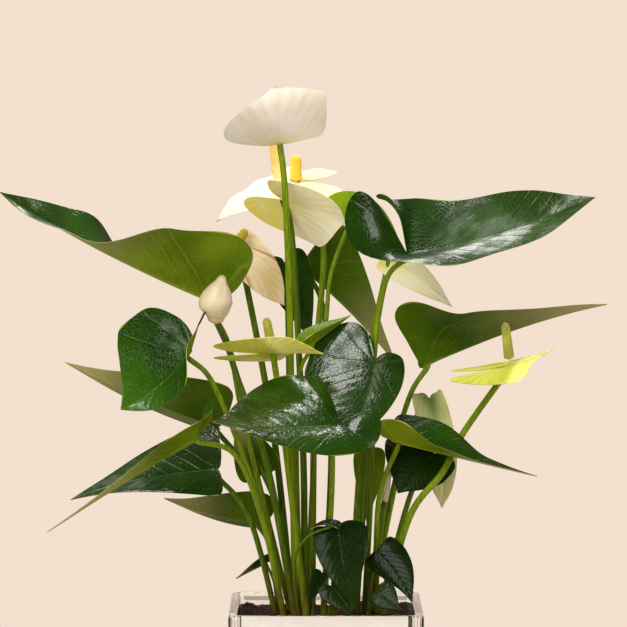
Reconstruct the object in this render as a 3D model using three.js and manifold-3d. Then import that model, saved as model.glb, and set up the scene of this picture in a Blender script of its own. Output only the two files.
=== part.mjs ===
// Potted anthurium in a square glass vase. Millimetres, Z up, origin at the middle of the vase's foot.
// The front of the plant looks toward -Y.
import * as THREE from "three";
import Module from "manifold-3d";

const wasm = await Module();
wasm.setup();

// the vase
const vaseSide = 140;
const vaseHeight = 140;
const glassThick = 7;
const footThick = 9;
const cornerRound = 6;
const rimBevel = 1.5;

// what fills the vase
const fitGap = 0.3;
const cardWide = 119;
const cardThick = 1;
const cardTop = 137.5;
const cardShift = -1;
const soilLevel = 133.6;
const rootLevel = 134;

// how thick the living parts are
const bladeThick = 1.3;
const marginThick = 0.7;
const stalkThick = 2.3;
const stemThick = 2.6;

// half a heart in the flat: first along the blade (behind the stalk is negative), then across it
const leafOutline = [
  [0, 0], [-0.62, 0.1], [-1, 0.42], [-0.62, 0.86], [0.1, 1],
  [0.34, 0.86], [0.58, 0.58], [0.8, 0.25], [1, 0],
];
const spatheOutline = [
  [0, 0], [-0.75, 0.16], [-1, 0.48], [-0.5, 0.88], [0.22, 1],
  [0.5, 0.86], [0.74, 0.55], [0.92, 0.16], [1, 0],
];

// the leaves: the stalk's line from the soil, the blade's tip, how far the middle of the midrib is off the
// straight line to the tip, where the upper face looks from base to tip, and the two halves with their lift
// in degrees out of the flat
const leaves = [
  {
    name: "leaf_far_left",
    stalk: [[-25, 4, 130], [-46, -1, 217], [-62, 4, 285], [-71, 2, 330], [-84, -20, 362]],
    tip: [-232, -60, 442], bend: [0, 0, -4],
    face: [[0.3, 1, 0.5], [0.2, 0.8, 0.8], [0.2, 0, 1], [0.2, -0.8, 1]],
    left: { wide: 60, lobe: 14, lift: [5, 0, 5] }, right: { wide: 50, lobe: 14, lift: [55, 45, 45] },
    full: 1.1,
  },
  {
    name: "leaf_far_right",
    stalk: [[28, 2, 130], [33, 4, 230], [35, 4, 318], [40, 3, 360], [47, 1, 382], [59, 0, 394]],
    tip: [193, -30, 437], bend: [0, 0, -5], face: [[0, -0.4, 1], [0, -0.5, 1]],
    left: { wide: 50, lobe: 30, lift: [30, 14, 42], fold: 92 },
    right: { wide: 42, lobe: 48, lift: [22, -6], rise: 14, fold: 75, curl: -6 }, full: 1.5,
    wave: [3.5, 1.6, 2.2],
  },
  {
    name: "leaf_young_top", thick: 1.9,
    stalk: [[-14, 8, 130], [-9, 14, 240], [0, 18, 343], [4, 23, 380], [15, 28, 416]],
    tip: [53, 54, 404], bend: [0, 0, 10], face: [[0, -0.6, 1], [0, -0.6, 1]],
    left: { wide: 24, lobe: 2, lift: [30] }, right: { wide: 20, lobe: 2, lift: [15] },
  },
  {
    name: "leaf_right_middle", stalk: [[34, 10, 130], [44, 20, 220], [60, 30, 285], [71, 40, 309]],
    tip: [205, 20, 357], bend: [0, 0, 5],
    face: [[0, 1, 0.1], [0, 0.6, 0.9], [0, 0.5, 1], [0, 0.7, 1]],
    left: { wide: 45, lobe: 4, lift: [95, 36, 27, 33] }, right: { wide: 50, lobe: 1, lift: [0, 0] },
    full: 0.95,
  },
  {
    name: "leaf_back_centre", stalk: [[-2, 18, 130], [4, 50, 250], [-1, 80, 345], [-17, 90, 379]],
    tip: [52, 84, 309], bend: [2, 0, 2], face: [[0.1, 1, 0.2], [0.3, 1, 0.2]],
    left: { wide: 28, lobe: 3, lift: [75] }, right: { wide: 46, lobe: 4, lift: [0] }, full: 0.65,
  },
  {
    name: "leaf_back_dark", stalk: [[-20, 20, 130], [-26, 45, 250], [-30, 60, 385]],
    tip: [-10, 72, 325], bend: [0, 0, 0], face: [[0.2, -1, 0.2]],
    left: { wide: 18, lobe: 8, lift: [0] }, right: { wide: 18, lobe: 8, lift: [0] },
  },
  {
    name: "leaf_rolled", thick: 1.8, stalk: [[-18, -4, 130], [-21, -2, 290], [-12, 2, 328]],
    tip: [18, 6, 350], bend: [0, 0, 0], face: [[-0.6, -0.4, 1]],
    left: { wide: 12, lobe: 8, lift: [50, 40] }, right: { wide: 12, lobe: 8, lift: [50, 40] },
  },
  {
    name: "leaf_left_heart",
    stalk: [[-30, -8, 130], [-50, -17, 220], [-80, -24, 300], [-97, -30, 327]],
    tip: [-147, -50, 286], bend: [3, 0, -4], face: [[-0.1, -1, 0.35], [-0.1, -1, 0.3]],
    left: { wide: 24, lobe: 30, lift: [88, 35, 8], fold: 55 },
    right: { wide: 52, lobe: 16, lift: [5], curl: -4 }, full: 1.7,
  },
  {
    name: "leaf_left_behind", stalk: [[-32, 10, 130], [-50, 38, 220], [-79, 46, 265]],
    tip: [-192, 44, 313], bend: [0, 0, -3], face: [[0, 1, 0.3]],
    left: { wide: 33, lobe: 4, lift: [0] }, right: { wide: 34, lobe: 2, lift: [60, 55] }, full: 0.9,
  },
  {
    name: "leaf_front_centre", stalk: [[-2, -14, 130], [4, -30, 220], [9, -60, 276]],
    tip: [-80, -122, 284], bend: [0, 0, -3], face: [[0, -0.62, 1], [0, -0.62, 1]],
    left: { wide: 30, lobe: 27, lift: [0, 0], fold: 45, curl: -6 },
    right: { wide: 60, lobe: 9, lift: [16, -6], fold: 90, curl: -8 }, full: 1.15,
  },
  {
    name: "leaf_centre_back", stalk: [[22, -4, 130], [30, -8, 250], [35, -14, 316]],
    tip: [13, -44, 254], bend: [3, 0, 2], face: [[-0.2, -1, 0.6], [-0.1, -1, 0.5]],
    left: { wide: 23, lobe: 10, lift: [5], curl: -5 },
    right: { wide: 51, lobe: 32, lift: [5], curl: -8 }, full: 1.2,
  },
  {
    name: "leaf_right_long", stalk: [[37, -6, 130], [38, -14, 215], [48, -20, 261]],
    tip: [152, -30, 236], bend: [0, 0, 0], face: [[0, -0.1, 1]],
    left: { wide: 34, lobe: 4, lift: [25, 42, 10, 0], full: 0.7 },
    right: { wide: 26, lobe: 14, lift: [48, 22, 12, 8] }, full: 0.8,
  },
  {
    name: "leaf_right_heart", stalk: [[38, 6, 130], [60, 0, 215], [78, 0, 249]], tip: [52, -14, 222],
    bend: [0, -4, 2], face: [[-0.2, -1, 0.4], [-0.2, -1, 0.3]],
    left: { wide: 20, lobe: 8, lift: [5], curl: -5 },
    right: { wide: 34, lobe: 14, lift: [5], curl: -5 }, full: 1.6,
  },
  {
    name: "leaf_right_hanging", thick: 1.5, stalk: [[22, 16, 130], [27, 36, 215], [32, 36, 246]],
    tip: [30, 30, 196], bend: [0, 0, 0], face: [[0.1, -1, 0.1]],
    left: { wide: 12, lobe: 5, lift: [10] }, right: { wide: 12, lobe: 5, lift: [10] },
  },
  {
    name: "leaf_left_dark", stalk: [[-36, -2, 130], [-56, -10, 205], [-78, -20, 240]],
    tip: [-184, -30, 219], bend: [0, 0, 4], face: [[0, -0.8, 1]],
    left: { wide: 26, lobe: 2, lift: [5], curl: -3 },
    right: { wide: 48, lobe: 4, lift: [5, 0], curl: -5 }, full: 0.7,
  },
  {
    name: "leaf_left_edge",
    stalk: [[-30, -16, 130], [-44, -40, 200], [-64, -64, 254], [-90, -70, 268]],
    tip: [-197, -95, 203], bend: [4, 0, 4], face: [[0.3, 0.5, 1], [0.2, 0.3, 1]],
    left: { wide: 20, lobe: 24, lift: [12, 0], fold: 50 },
    right: { wide: 26, lobe: 27, lift: [25, 10], fold: 50 },
  },
  {
    name: "leaf_low_left", thick: 1.9, stalk: [[-34, 4, 130], [-41, 10, 180], [-47, 14, 198]],
    tip: [-118, 10, 216], bend: [0, 0, -3], face: [[0, 1, 0.5]],
    left: { wide: 26, lobe: 8, lift: [0] }, right: { wide: 14, lobe: 2, lift: [38] },
  },
  {
    name: "leaf_olive_square", thick: 1.9, stalk: [[-24, -4, 130], [-33, -3, 200], [-46, 5, 236]],
    tip: [-66, 6, 278], bend: [0, 0, 0], face: [[0, 1, 0.2]], left: { wide: 15, lobe: 3, lift: [0] },
    right: { wide: 18, lobe: 3, lift: [0] },
  },
  {
    name: "leaf_base_heart", stalk: [[6, -26, 130], [6, -34, 170], [9, -40, 200]],
    tip: [22, -56, 143], bend: [-3, -3, 0], face: [[0.1, -1, 0.25], [0.1, -1, 0.1]],
    left: { wide: 22, lobe: 6, lift: [5], curl: -4 },
    right: { wide: 19, lobe: 1, lift: [5], curl: -4 },
  },
  {
    name: "leaf_base_right", stalk: [[30, -18, 130], [33, -19, 165], [37, -30, 182]],
    tip: [62, -44, 146], bend: [2, 0, 2], face: [[-0.2, -1, 0.3], [-0.2, -1, 0.2]],
    left: { wide: 16, lobe: 1, lift: [5], curl: -4, full: 1.3 },
    right: { wide: 13, lobe: 2, lift: [5], curl: -4 },
  },
  {
    name: "leaf_base_small", thick: 1.3, stalk: [[0, -36, 130], [3, -42, 142], [4, -44, 158]],
    tip: [19, -52, 138], bend: [0, 0, 0], face: [[0.1, -1, 0.4]],
    left: { wide: 11, lobe: 4, lift: [5], curl: -2 },
    right: { wide: 11, lobe: 4, lift: [5], curl: -2 },
  },
  {
    name: "leaf_base_two", thick: 1.3, stalk: [[28, -34, 130], [32, -37, 142], [39, -46, 153]],
    tip: [53, -53, 142], bend: [0, 0, 0], face: [[-0.2, -1, 0.4]],
    left: { wide: 11, lobe: 5, lift: [8], curl: -2 },
    right: { wide: 10, lobe: 5, lift: [8], curl: -2 },
  },
  {
    name: "leaf_base_folded", thick: 1.2, stalk: [[-10, -22, 130], [-8, -28, 150], [-3, -33, 166]],
    tip: [-13, -38, 144], bend: [0, -2, 0], face: [[-0.4, -1, 0.3]],
    left: { wide: 7, lobe: 2, lift: [15] }, right: { wide: 7, lobe: 2, lift: [25] },
  },
  {
    name: "leaf_centre_curled", thick: 1.2,
    stalk: [[-19, -28, 130], [-23, -36, 172], [-14, -43, 193], [9, -46, 202]], tip: [-11, -47, 200],
    bend: [0, 0, 3], face: [[0, -0.6, 1]], left: { wide: 6, lobe: 2, lift: [20] },
    right: { wide: 7, lobe: 2, lift: [-10] },
  },
  {
    name: "leaf_base_back", thick: 1.3, stalk: [[-34, 22, 130], [-38, 30, 152], [-42, 34, 168]],
    tip: [-66, 34, 154], bend: [0, 0, 0], face: [[0, 0.4, 1]],
    left: { wide: 9, lobe: 4, lift: [10] }, right: { wide: 9, lobe: 4, lift: [10] },
  },
];

// the open flowers: the same, for the spathe round each spadix
const spathes = [
  {
    name: "flower_top",
    stalk: [[-22, -10, 130], [-25, -10, 290], [-26, -12, 350], [-28, -22, 410], [-30, -25, 450], [-33, -22, 475]],
    tip: [-37, -52, 517], bend: [0, -10, 0], face: [[0, 0.4, 1], [0, 1, 0.2]],
    left: { wide: 36, lobe: 2, lift: [10, 5], curl: 6, full: 4 },
    right: { wide: 40, lobe: 3, lift: [0, 5], curl: 4, full: 0.7 }, full: 1,
  },
  {
    name: "flower_cream",
    stalk: [[-16, 2, 130], [-16, 7, 230], [-20, 9, 330], [-25, 8, 410], [-31, 6, 434]],
    tip: [14, -10, 418], bend: [4, -4, 0], face: [[0, 1, 0.8]],
    left: { wide: 38, lobe: 36, lift: [0, 0], curl: 4, full: 1.5 },
    right: { wide: 28, lobe: 8, lift: [-20], curl: 2, full: 1.3 }, full: 1.2,
  },
  {
    name: "flower_white", stalk: [[-10, 24, 130], [-8, 38, 300], [-2, 52, 400], [-21, 60, 445]],
    tip: [-80, 46, 416], bend: [-3, 0, 8], face: [[0, -0.6, 1], [-0.3, -0.8, 0.9]],
    left: { wide: 26, lobe: 32, lift: [5], curl: -4 },
    right: { wide: 20, lobe: 30, lift: [4, -22, -22], curl: -3, rise: 4 }, wave: [1.8, 3, 0.5],
  },
  {
    name: "flower_peach", stalk: [[-24, 12, 130], [-38, 28, 260], [-58, 32, 370], [-66, 26, 400]],
    tip: [-30, 20, 356], bend: [0, -4, 2], face: [[0.3, -1, 0.3]],
    left: { wide: 15, lobe: 6, lift: [10], curl: 4 }, right: { wide: 16, lobe: 8, lift: [10] },
    full: 1.3,
  },
  {
    name: "flower_green", stalk: [[-14, -20, 130], [-32, -24, 280], [-38, -32, 325]],
    tip: [-2, -36, 325], bend: [0, 0, 0.5], face: [[0, 0.65, 1], [0, 0.5, 1]],
    left: { wide: 17, lobe: 44, lift: [0, 30, 35], curl: 3, rise: 2 },
    right: { wide: 19, lobe: 42, lift: [0], curl: 3, rise: 3 },
  },
  {
    name: "flower_right",
    stalk: [[40, -12, 130], [60, -22, 205], [84, -22, 238], [101, 4, 266], [133, -20, 315]],
    tip: [164, -16, 327], bend: [0, 0, -1.5], face: [[0, -0.55, 1], [0, -0.2, 1]],
    left: { wide: 10, lobe: 42, lift: [-12], rise: 4 },
    right: { wide: 17, lobe: 46, lift: [0, 28, 30], curl: -3, rise: 4, full: 0.7 },
  },
  {
    name: "flower_behind", stalk: [[18, 10, 130], [30, 30, 300], [46, 36, 389]], tip: [93, 30, 354],
    bend: [-2, 0, 4], face: [[-0.4, -1, 0.2]], left: { wide: 12, lobe: 6, lift: [10] },
    right: { wide: 12, lobe: 6, lift: [10] },
  },
  {
    name: "flower_hanging", stalk: [[32, 22, 130], [52, 30, 230], [68, 34, 276], [76, 32, 287]],
    tip: [85, 24, 207], bend: [4, 0, 0], face: [[0.2, -1, 0.2]],
    left: { wide: 12, lobe: 3, lift: [10] }, right: { wide: 15, lobe: 6, lift: [10] }, full: 1.6,
  },
];

// the spadix of an open flower: its line and its radius at the foot and the top
const spadices = [
  {
    name: "flower_top", path: [[-33, -16, 480], [-33, 2, 512]], thick: [4.2, 3],
  },
  {
    name: "flower_cream", path: [[-31, 9, 437], [-35, 16, 455], [-38, 20, 476]], thick: [4.5, 3.8],
  },
  {
    name: "flower_white", path: [[-22, 59, 447], [-22, 58, 464]], thick: [4.6, 4],
  },
  {
    name: "flower_peach", path: [[-68, 22, 397], [-58, 16, 411]], thick: [4, 3],
  },
  {
    name: "flower_green", path: [[-39, -31, 329], [-43, -30, 350]], thick: [3.6, 3],
  },
  {
    name: "flower_right", path: [[132, -20, 321], [129, -22, 346]], thick: [3.8, 3],
  },
];

// the closed flowers: the stem's line, the line through the rolled spathe and its radii
const buds = [
  {
    name: "bud_left",
    stalk: [[-22, -16, 130], [-42, -12, 240], [-64, -7, 305], [-71, -10, 328], [-75, -41, 346]],
    path: [[-79, -43, 349], [-78.5, -44, 356], [-78.5, -44.5, 363], [-76.5, -44.5, 372], [-74, -44, 381]],
    thick: [4, 10, 13, 9, 0.8],
  },
  {
    name: "bud_right", stalk: [[34, -1, 130], [38, -4, 196], [43, -5, 212]],
    path: [[43, -5, 215], [44, -5, 226], [46, -5, 238]], thick: [1.8, 3.4, 0.8],
  },
];

const add = (a, b) => [a[0] + b[0], a[1] + b[1], a[2] + b[2]];
const times = (a, k) => [a[0] * k, a[1] * k, a[2] * k];
const less = (a, b) => [a[0] - b[0], a[1] - b[1], a[2] - b[2]];
const dot = (a, b) => a[0] * b[0] + a[1] * b[1] + a[2] * b[2];
const cross = (a, b) => [
  a[1] * b[2] - a[2] * b[1],
  a[2] * b[0] - a[0] * b[2],
  a[0] * b[1] - a[1] * b[0],
];
const size = (a) => Math.sqrt(dot(a, a));
const unit = (a) => times(a, 1 / size(a));

// a smooth line through points, with a number of steps between each two
function smoothLine(points, steps) {
  const first = less(times(points[0], 2), points[1]);
  const last = less(times(points[points.length - 1], 2), points[points.length - 2]);
  const all = [first, ...points, last];
  const line = [];
  for (let i = 1; i < all.length - 2; i += 1) {
    for (let k = 0; k < steps; k += 1) {
      const t = k / steps;
      line.push(all[i].map((b, axis) => {
        const a = all[i - 1][axis];
        const c = all[i + 1][axis];
        const d = all[i + 2][axis];
        return 0.5 * (2 * b + (c - a) * t + (2 * a - 5 * b + 4 * c - d) * t * t
          + (3 * b - a - 3 * c + d) * t * t * t);
      }));
    }
  }
  line.push(all[all.length - 2]);
  return line;
}

// a value that eases from one list entry to the next as t goes from 0 to 1
function ease(list, t) {
  if (list.length === 1) return list[0];
  const place = Math.min(Math.max(t, 0), 1) * (list.length - 1);
  const i = Math.min(Math.floor(place), list.length - 2);
  const k = (place - i) * (place - i) * (3 - 2 * (place - i));
  if (Array.isArray(list[i])) return list[i].map((v, axis) => v + (list[i + 1][axis] - v) * k);
  return list[i] + (list[i + 1] - list[i]) * k;
}

// collects triangles and shares the corners that fall on the same spot
class Shell {
  constructor() {
    this.points = [];
    this.found = new Map();
    this.triangles = [];
  }

  corner(p) {
    const key = p.map((v) => Math.round(v * 500)).join(",");
    if (!this.found.has(key)) {
      this.found.set(key, this.points.length);
      this.points.push(p);
    }
    return this.found.get(key);
  }

  triangle(a, b, c) {
    if (a !== b && b !== c && a !== c) this.triangles.push(a, b, c);
  }

  quad(a, b, c, d) {
    this.triangle(a, b, c);
    this.triangle(a, c, d);
  }

  solid() {
    return new wasm.Manifold(new wasm.Mesh({
      numProp: 3,
      vertProperties: new Float32Array(this.points.flat()),
      triVerts: new Uint32Array(this.triangles),
    }));
  }
}

// a round rod along a line, with a radius for every point of the line
function rod(line, radii, sides) {
  const shell = new Shell();
  const rings = [];
  let across = unit(cross(unit(less(line[1], line[0])), [0.31, 0.95, 0.05]));
  line.forEach((p, i) => {
    const ahead = line[Math.min(i + 1, line.length - 1)];
    const behind = line[Math.max(i - 1, 0)];
    const along = unit(less(ahead, behind));
    across = unit(less(across, times(along, dot(across, along))));
    const other = cross(along, across);
    const ring = [];
    for (let k = 0; k < sides; k += 1) {
      const turn = (k / sides) * Math.PI * 2;
      const out = add(times(across, Math.cos(turn)), times(other, Math.sin(turn)));
      ring.push(shell.corner(add(p, times(out, radii[i]))));
    }
    rings.push(ring);
  });
  const foot = shell.corner(line[0]);
  const head = shell.corner(line[line.length - 1]);
  for (let k = 0; k < sides; k += 1) {
    const next = (k + 1) % sides;
    shell.triangle(foot, rings[0][next], rings[0][k]);
    shell.triangle(head, rings[rings.length - 1][k], rings[rings.length - 1][next]);
    for (let i = 0; i < rings.length - 1; i += 1) {
      shell.quad(rings[i][k], rings[i][next], rings[i + 1][next], rings[i + 1][k]);
    }
  }
  return shell.solid();
}

// the curved sheet of one leaf or spathe: where a point of the flat heart goes in space
class Sheet {
  constructor(row, outline) {
    this.row = row;
    this.outline = outline;
    this.base = row.stalk[row.stalk.length - 1];
    const middle = times(add(this.base, row.tip), 0.5);
    this.control = add(middle, times(row.bend, 2));
    this.length = 0;
    for (let i = 0; i < 20; i += 1) {
      this.length += size(less(this.rib((i + 1) / 20), this.rib(i / 20)));
    }
  }

  rib(t) {
    const start = times(this.base, (1 - t) * (1 - t));
    const middle = times(this.control, 2 * t * (1 - t));
    return add(add(start, middle), times(this.row.tip, t * t));
  }

  ahead(t) {
    const start = times(less(this.control, this.base), 1 - t);
    return unit(add(start, times(less(this.row.tip, this.control), t)));
  }

  face(t) {
    const wanted = ease(this.row.face.map(unit), t);
    const along = this.ahead(t);
    return unit(less(wanted, times(along, dot(wanted, along))));
  }

  half(y) {
    return y > 0 ? this.row.right : this.row.left;
  }

  point(x, y) {
    const t = x / this.length;
    const held = Math.min(Math.max(t, 0), 1);
    const along = this.ahead(held);
    const up = this.face(held);
    const side = times(cross(along, up), y > 0 ? 1 : -1);
    const half = this.half(y);
    const lift = (ease(half.lift, held) * Math.PI) / 180;
    const share = Math.abs(y) / half.wide;
    let p = this.rib(held);
    if (x < 0) {
      const turn = ((half.fold || 0) * (1 - share * share) * Math.PI) / 180;
      p = add(p, add(times(along, x * Math.cos(turn)), times(up, -x * Math.sin(turn))));
    }
    p = add(p, times(side, Math.cos(lift) * Math.abs(y)));
    p = add(p, times(up, Math.sin(lift) * Math.abs(y)));
    p = add(p, times(up, (half.curl || 0) * share * share));
    if (x < 0) p = add(p, times(up, (half.rise || 0) * (x / half.lobe) ** 2));
    const wave = this.row.wave || [0, 0, 0];
    return add(p, times(up, wave[0] * share * share * Math.sin(wave[1] * Math.PI * 2 * t + wave[2])));
  }

  margin(sign, steps) {
    const half = sign > 0 ? this.row.right : this.row.left;
    const full = half.full || this.row.full || 1;
    const flat = this.outline.map(([along, across]) => {
      const x = along < 0 ? along * half.lobe : this.length * along ** (1 / full);
      return [x, across * half.wide * sign, 0];
    });
    return smoothLine(flat, steps);
  }

  // how far from the base the two halves start to meet on the midrib
  seat() {
    return Math.min(4, this.length * 0.06);
  }

  // where the stalk ends: on the midrib, a little under the blade's middle
  holdPoint() {
    const t = (this.seat() + 1.2) / this.length;
    return add(this.rib(t), times(this.face(t), -0.4));
  }

  // rows of flat points from the midrib out to the margin
  rows(sign, steps, columns) {
    const margin = this.margin(sign, steps);
    const seat = this.seat();
    return margin.map(([x, y], i) => {
      const v = i / (margin.length - 1);
      const start = Math.max(seat, this.length * Math.max(0, (v - 0.25) / 0.75) ** 1.15);
      const row = [];
      for (let k = 0; k <= columns; k += 1) {
        row.push([start + ((x - start) * k) / columns, (y * k) / columns]);
      }
      return row;
    });
  }

  normal(x, y, sign) {
    const reach = 0.6;
    const out = less(this.point(x, y + sign * reach), this.point(x, y + sign * 0.01));
    const held = Math.min(x, this.length - reach);
    const on = less(this.point(held + reach, y + sign * 0.01), this.point(held, y + sign * 0.01));
    return unit(times(cross(out, on), sign));
  }

  solid(steps, columns) {
    const shell = new Shell();
    for (const sign of [-1, 1]) {
      const rows = this.rows(sign, steps, columns);
      const corners = rows.map((row) => row.map(([x, y], k) => {
        const t = Math.min(Math.max(x / this.length, 0), 1);
        const onRib = y === 0;
        const up = onRib ? this.face(t) : this.normal(x, y, sign);
        const thick = (k === columns && !onRib ? marginThick : bladeThick) / 2;
        const p = this.point(x, y);
        return [shell.corner(add(p, times(up, thick))), shell.corner(add(p, times(up, -thick)))];
      }));
      const join = (a, b, c, d) => (sign > 0 ? shell.quad(a, b, c, d) : shell.quad(d, c, b, a));
      for (let i = 0; i < rows.length - 1; i += 1) {
        for (let k = 0; k < columns; k += 1) {
          const near = corners[i];
          const next = corners[i + 1];
          join(near[k][0], near[k + 1][0], next[k + 1][0], next[k][0]);
          join(near[k][1], next[k][1], next[k + 1][1], near[k + 1][1]);
        }
        const edge = corners[i][columns];
        const ahead = corners[i + 1][columns];
        join(edge[0], edge[1], ahead[1], ahead[0]);
      }
    }
    return shell.solid();
  }
}

function named(solid, name, material) {
  const mesh = largest(solid.simplify(0.04)).getMesh();
  const geometry = new THREE.BufferGeometry();
  geometry.setAttribute("position", new THREE.BufferAttribute(new Float32Array(mesh.vertProperties), 3));
  geometry.setIndex(new THREE.BufferAttribute(new Uint32Array(mesh.triVerts), 1));
  geometry.computeVertexNormals();
  const node = new THREE.Mesh(geometry, material);
  node.name = name;
  return node;
}

// a square block with round upright edges, from one height to another
function roundBlock(side, round, low, high, bevel) {
  const h = side / 2 - bevel;
  const r = round - bevel;
  const shape = new THREE.Shape();
  shape.moveTo(-h + r, -h);
  shape.lineTo(h - r, -h);
  shape.absarc(h - r, -h + r, r, -Math.PI / 2, 0, false);
  shape.lineTo(h, h - r);
  shape.absarc(h - r, h - r, r, 0, Math.PI / 2, false);
  shape.lineTo(-h + r, h);
  shape.absarc(-h + r, h - r, r, Math.PI / 2, Math.PI, false);
  shape.lineTo(-h, -h + r);
  shape.absarc(-h + r, -h + r, r, Math.PI, Math.PI * 1.5, false);
  const block = new THREE.ExtrudeGeometry(shape, {
    depth: high - low - 2 * bevel,
    curveSegments: 4,
    bevelEnabled: bevel > 0,
    bevelThickness: bevel,
    bevelSize: bevel,
    bevelSegments: 2,
  });
  const place = block.getAttribute("position");
  const shell = new Shell();
  const corners = [];
  for (let i = 0; i < place.count; i += 1) {
    corners.push(shell.corner([place.getX(i), place.getY(i), place.getZ(i) + low + bevel]));
  }
  for (let i = 0; i < corners.length; i += 3) shell.triangle(corners[i], corners[i + 1], corners[i + 2]);
  return shell.solid();
}

function box(low, high) {
  const block = wasm.Manifold.cube(less(high, low), false);
  return block.translate(low);
}

// how high the soil stands: level round the crowns, lumpy toward the glass
function soilHeight(x, y) {
  const lump = 1.6 * Math.sin(0.11 * x + 0.07 * y + 1) + 1.3 * Math.cos(0.13 * y - 0.06 * x);
  const corner = 5 * Math.exp(-((x + 52) ** 2 + (y - 20) ** 2) / 260);
  const right = 6 * Math.exp(-((x - 58) ** 2 + (y - 35) ** 2) / 300);
  const away = Math.max(Math.abs(x - 2) / 50, Math.abs(y + 4) / 46);
  const free = Math.min(Math.max((away - 0.9) / 0.3, 0), 1);
  return soilLevel + free * (lump - 2.5 + corner + right);
}

function soilSolid() {
  const inside = vaseSide / 2 - glassThick - fitGap;
  const front = -vaseSide / 2 + glassThick + cardThick + 2 * fitGap;
  const low = footThick + fitGap;
  const cells = 12;
  const shell = new Shell();
  const spot = (i, k) => [
    -inside + (2 * inside * i) / cells,
    front + ((inside - front) * k) / cells,
  ];
  const top = (i, k) => {
    const [x, y] = spot(i, k);
    return shell.corner([x, y, soilHeight(x, y)]);
  };
  const floor = (i, k) => shell.corner([...spot(i, k), low]);
  for (let i = 0; i < cells; i += 1) {
    for (let k = 0; k < cells; k += 1) {
      shell.quad(top(i, k), top(i + 1, k), top(i + 1, k + 1), top(i, k + 1));
    }
    shell.quad(floor(i, 0), floor(i + 1, 0), top(i + 1, 0), top(i, 0));
    shell.quad(floor(i + 1, cells), floor(i, cells), top(i, cells), top(i + 1, cells));
    shell.quad(floor(0, i + 1), floor(0, i), top(0, i), top(0, i + 1));
    shell.quad(floor(cells, i), floor(cells, i + 1), top(cells, i + 1), top(cells, i));
  }
  const middle = shell.corner([0, 0, low]);
  for (let i = 0; i < cells; i += 1) {
    shell.triangle(middle, floor(i + 1, 0), floor(i, 0));
    shell.triangle(middle, floor(i, cells), floor(i + 1, cells));
    shell.triangle(middle, floor(0, i), floor(0, i + 1));
    shell.triangle(middle, floor(cells, i + 1), floor(cells, i));
  }
  return shell.solid();
}

// radii that go evenly from one end of a line to the other
function evenRadii(line, first, last) {
  return line.map((p, i) => first + ((last - first) * i) / (line.length - 1));
}

// the largest body of a solid, without the specks a fold can leave
function largest(solid) {
  const bodies = solid.decompose();
  return bodies.reduce((most, body) => (body.volume() > most.volume() ? body : most));
}

// a line that starts a little under the soil, to be cut off level
function rooted(points) {
  const [x, y, z] = points[0];
  return [[x, y, z - 4], ...points];
}

function leafSolid(row) {
  const big = row.left.wide + row.right.wide > 50;
  const sheet = new Sheet(row, leafOutline);
  const top = sheet.holdPoint();
  const line = smoothLine([...rooted(row.stalk.slice(0, -1)), top], 2);
  const thick = row.thick || stalkThick;
  const stalk = rod(line, evenRadii(line, thick, thick * 0.8), 5);
  const blade = sheet.solid(big ? 2 : 1, big ? 2 : 1);
  return blade.add(stalk.trimByPlane([0, 0, 1], rootLevel));
}

function stemLine(row) {
  const sheet = new Sheet(row, spatheOutline);
  const end = add(sheet.base, times(sheet.face(0), -1.8));
  return smoothLine([...rooted(row.stalk.slice(0, -1)), end], 2);
}

function spadixLine(row) {
  return smoothLine(row.path, 3);
}

function spadixRadii(row, line, spare) {
  return line.map((p, i) => {
    const t = i / (line.length - 1);
    const body = row.thick[0] + (row.thick[1] - row.thick[0]) * t;
    const round = t > 0.85 ? 0.62 : 1;
    return body * round + spare;
  });
}

const glass = new THREE.MeshStandardMaterial({ color: 0xe6efee, roughness: 0.05, transparent: true, opacity: 0.4 });
const soilStuff = new THREE.MeshStandardMaterial({ color: 0x3a2416, roughness: 1 });
const card = new THREE.MeshStandardMaterial({ color: 0xe9d8c8, roughness: 0.9 });
const leaf = new THREE.MeshStandardMaterial({ color: 0x1f4a12, roughness: 0.35 });
const stemGreen = new THREE.MeshStandardMaterial({ color: 0x7d8f1c, roughness: 0.5 });
const petal = new THREE.MeshStandardMaterial({ color: 0xf3ecd9, roughness: 0.5 });
const spadix = new THREE.MeshStandardMaterial({ color: 0xe2bf4a, roughness: 0.7 });

const group = new THREE.Group();
group.name = "potted_anthurium";

const outer = roundBlock(vaseSide, cornerRound, 0, vaseHeight, rimBevel);
const inner = roundBlock(vaseSide - 2 * glassThick, cornerRound / 2, footThick, vaseHeight + 5, 0);
group.add(named(outer.subtract(inner), "glass_vase", glass));
const bed = roundBlock(vaseSide - 2 * (glassThick + fitGap), cornerRound / 2, 0, vaseHeight, 0);
group.add(named(soilSolid().intersect(bed), "soil", soilStuff));
const cardBack = -vaseSide / 2 + glassThick + fitGap + cardThick;
group.add(named(box(
  [cardShift - cardWide / 2, cardBack - cardThick, footThick + fitGap],
  [cardShift + cardWide / 2, cardBack, cardTop],
), "front_card", card));

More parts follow.
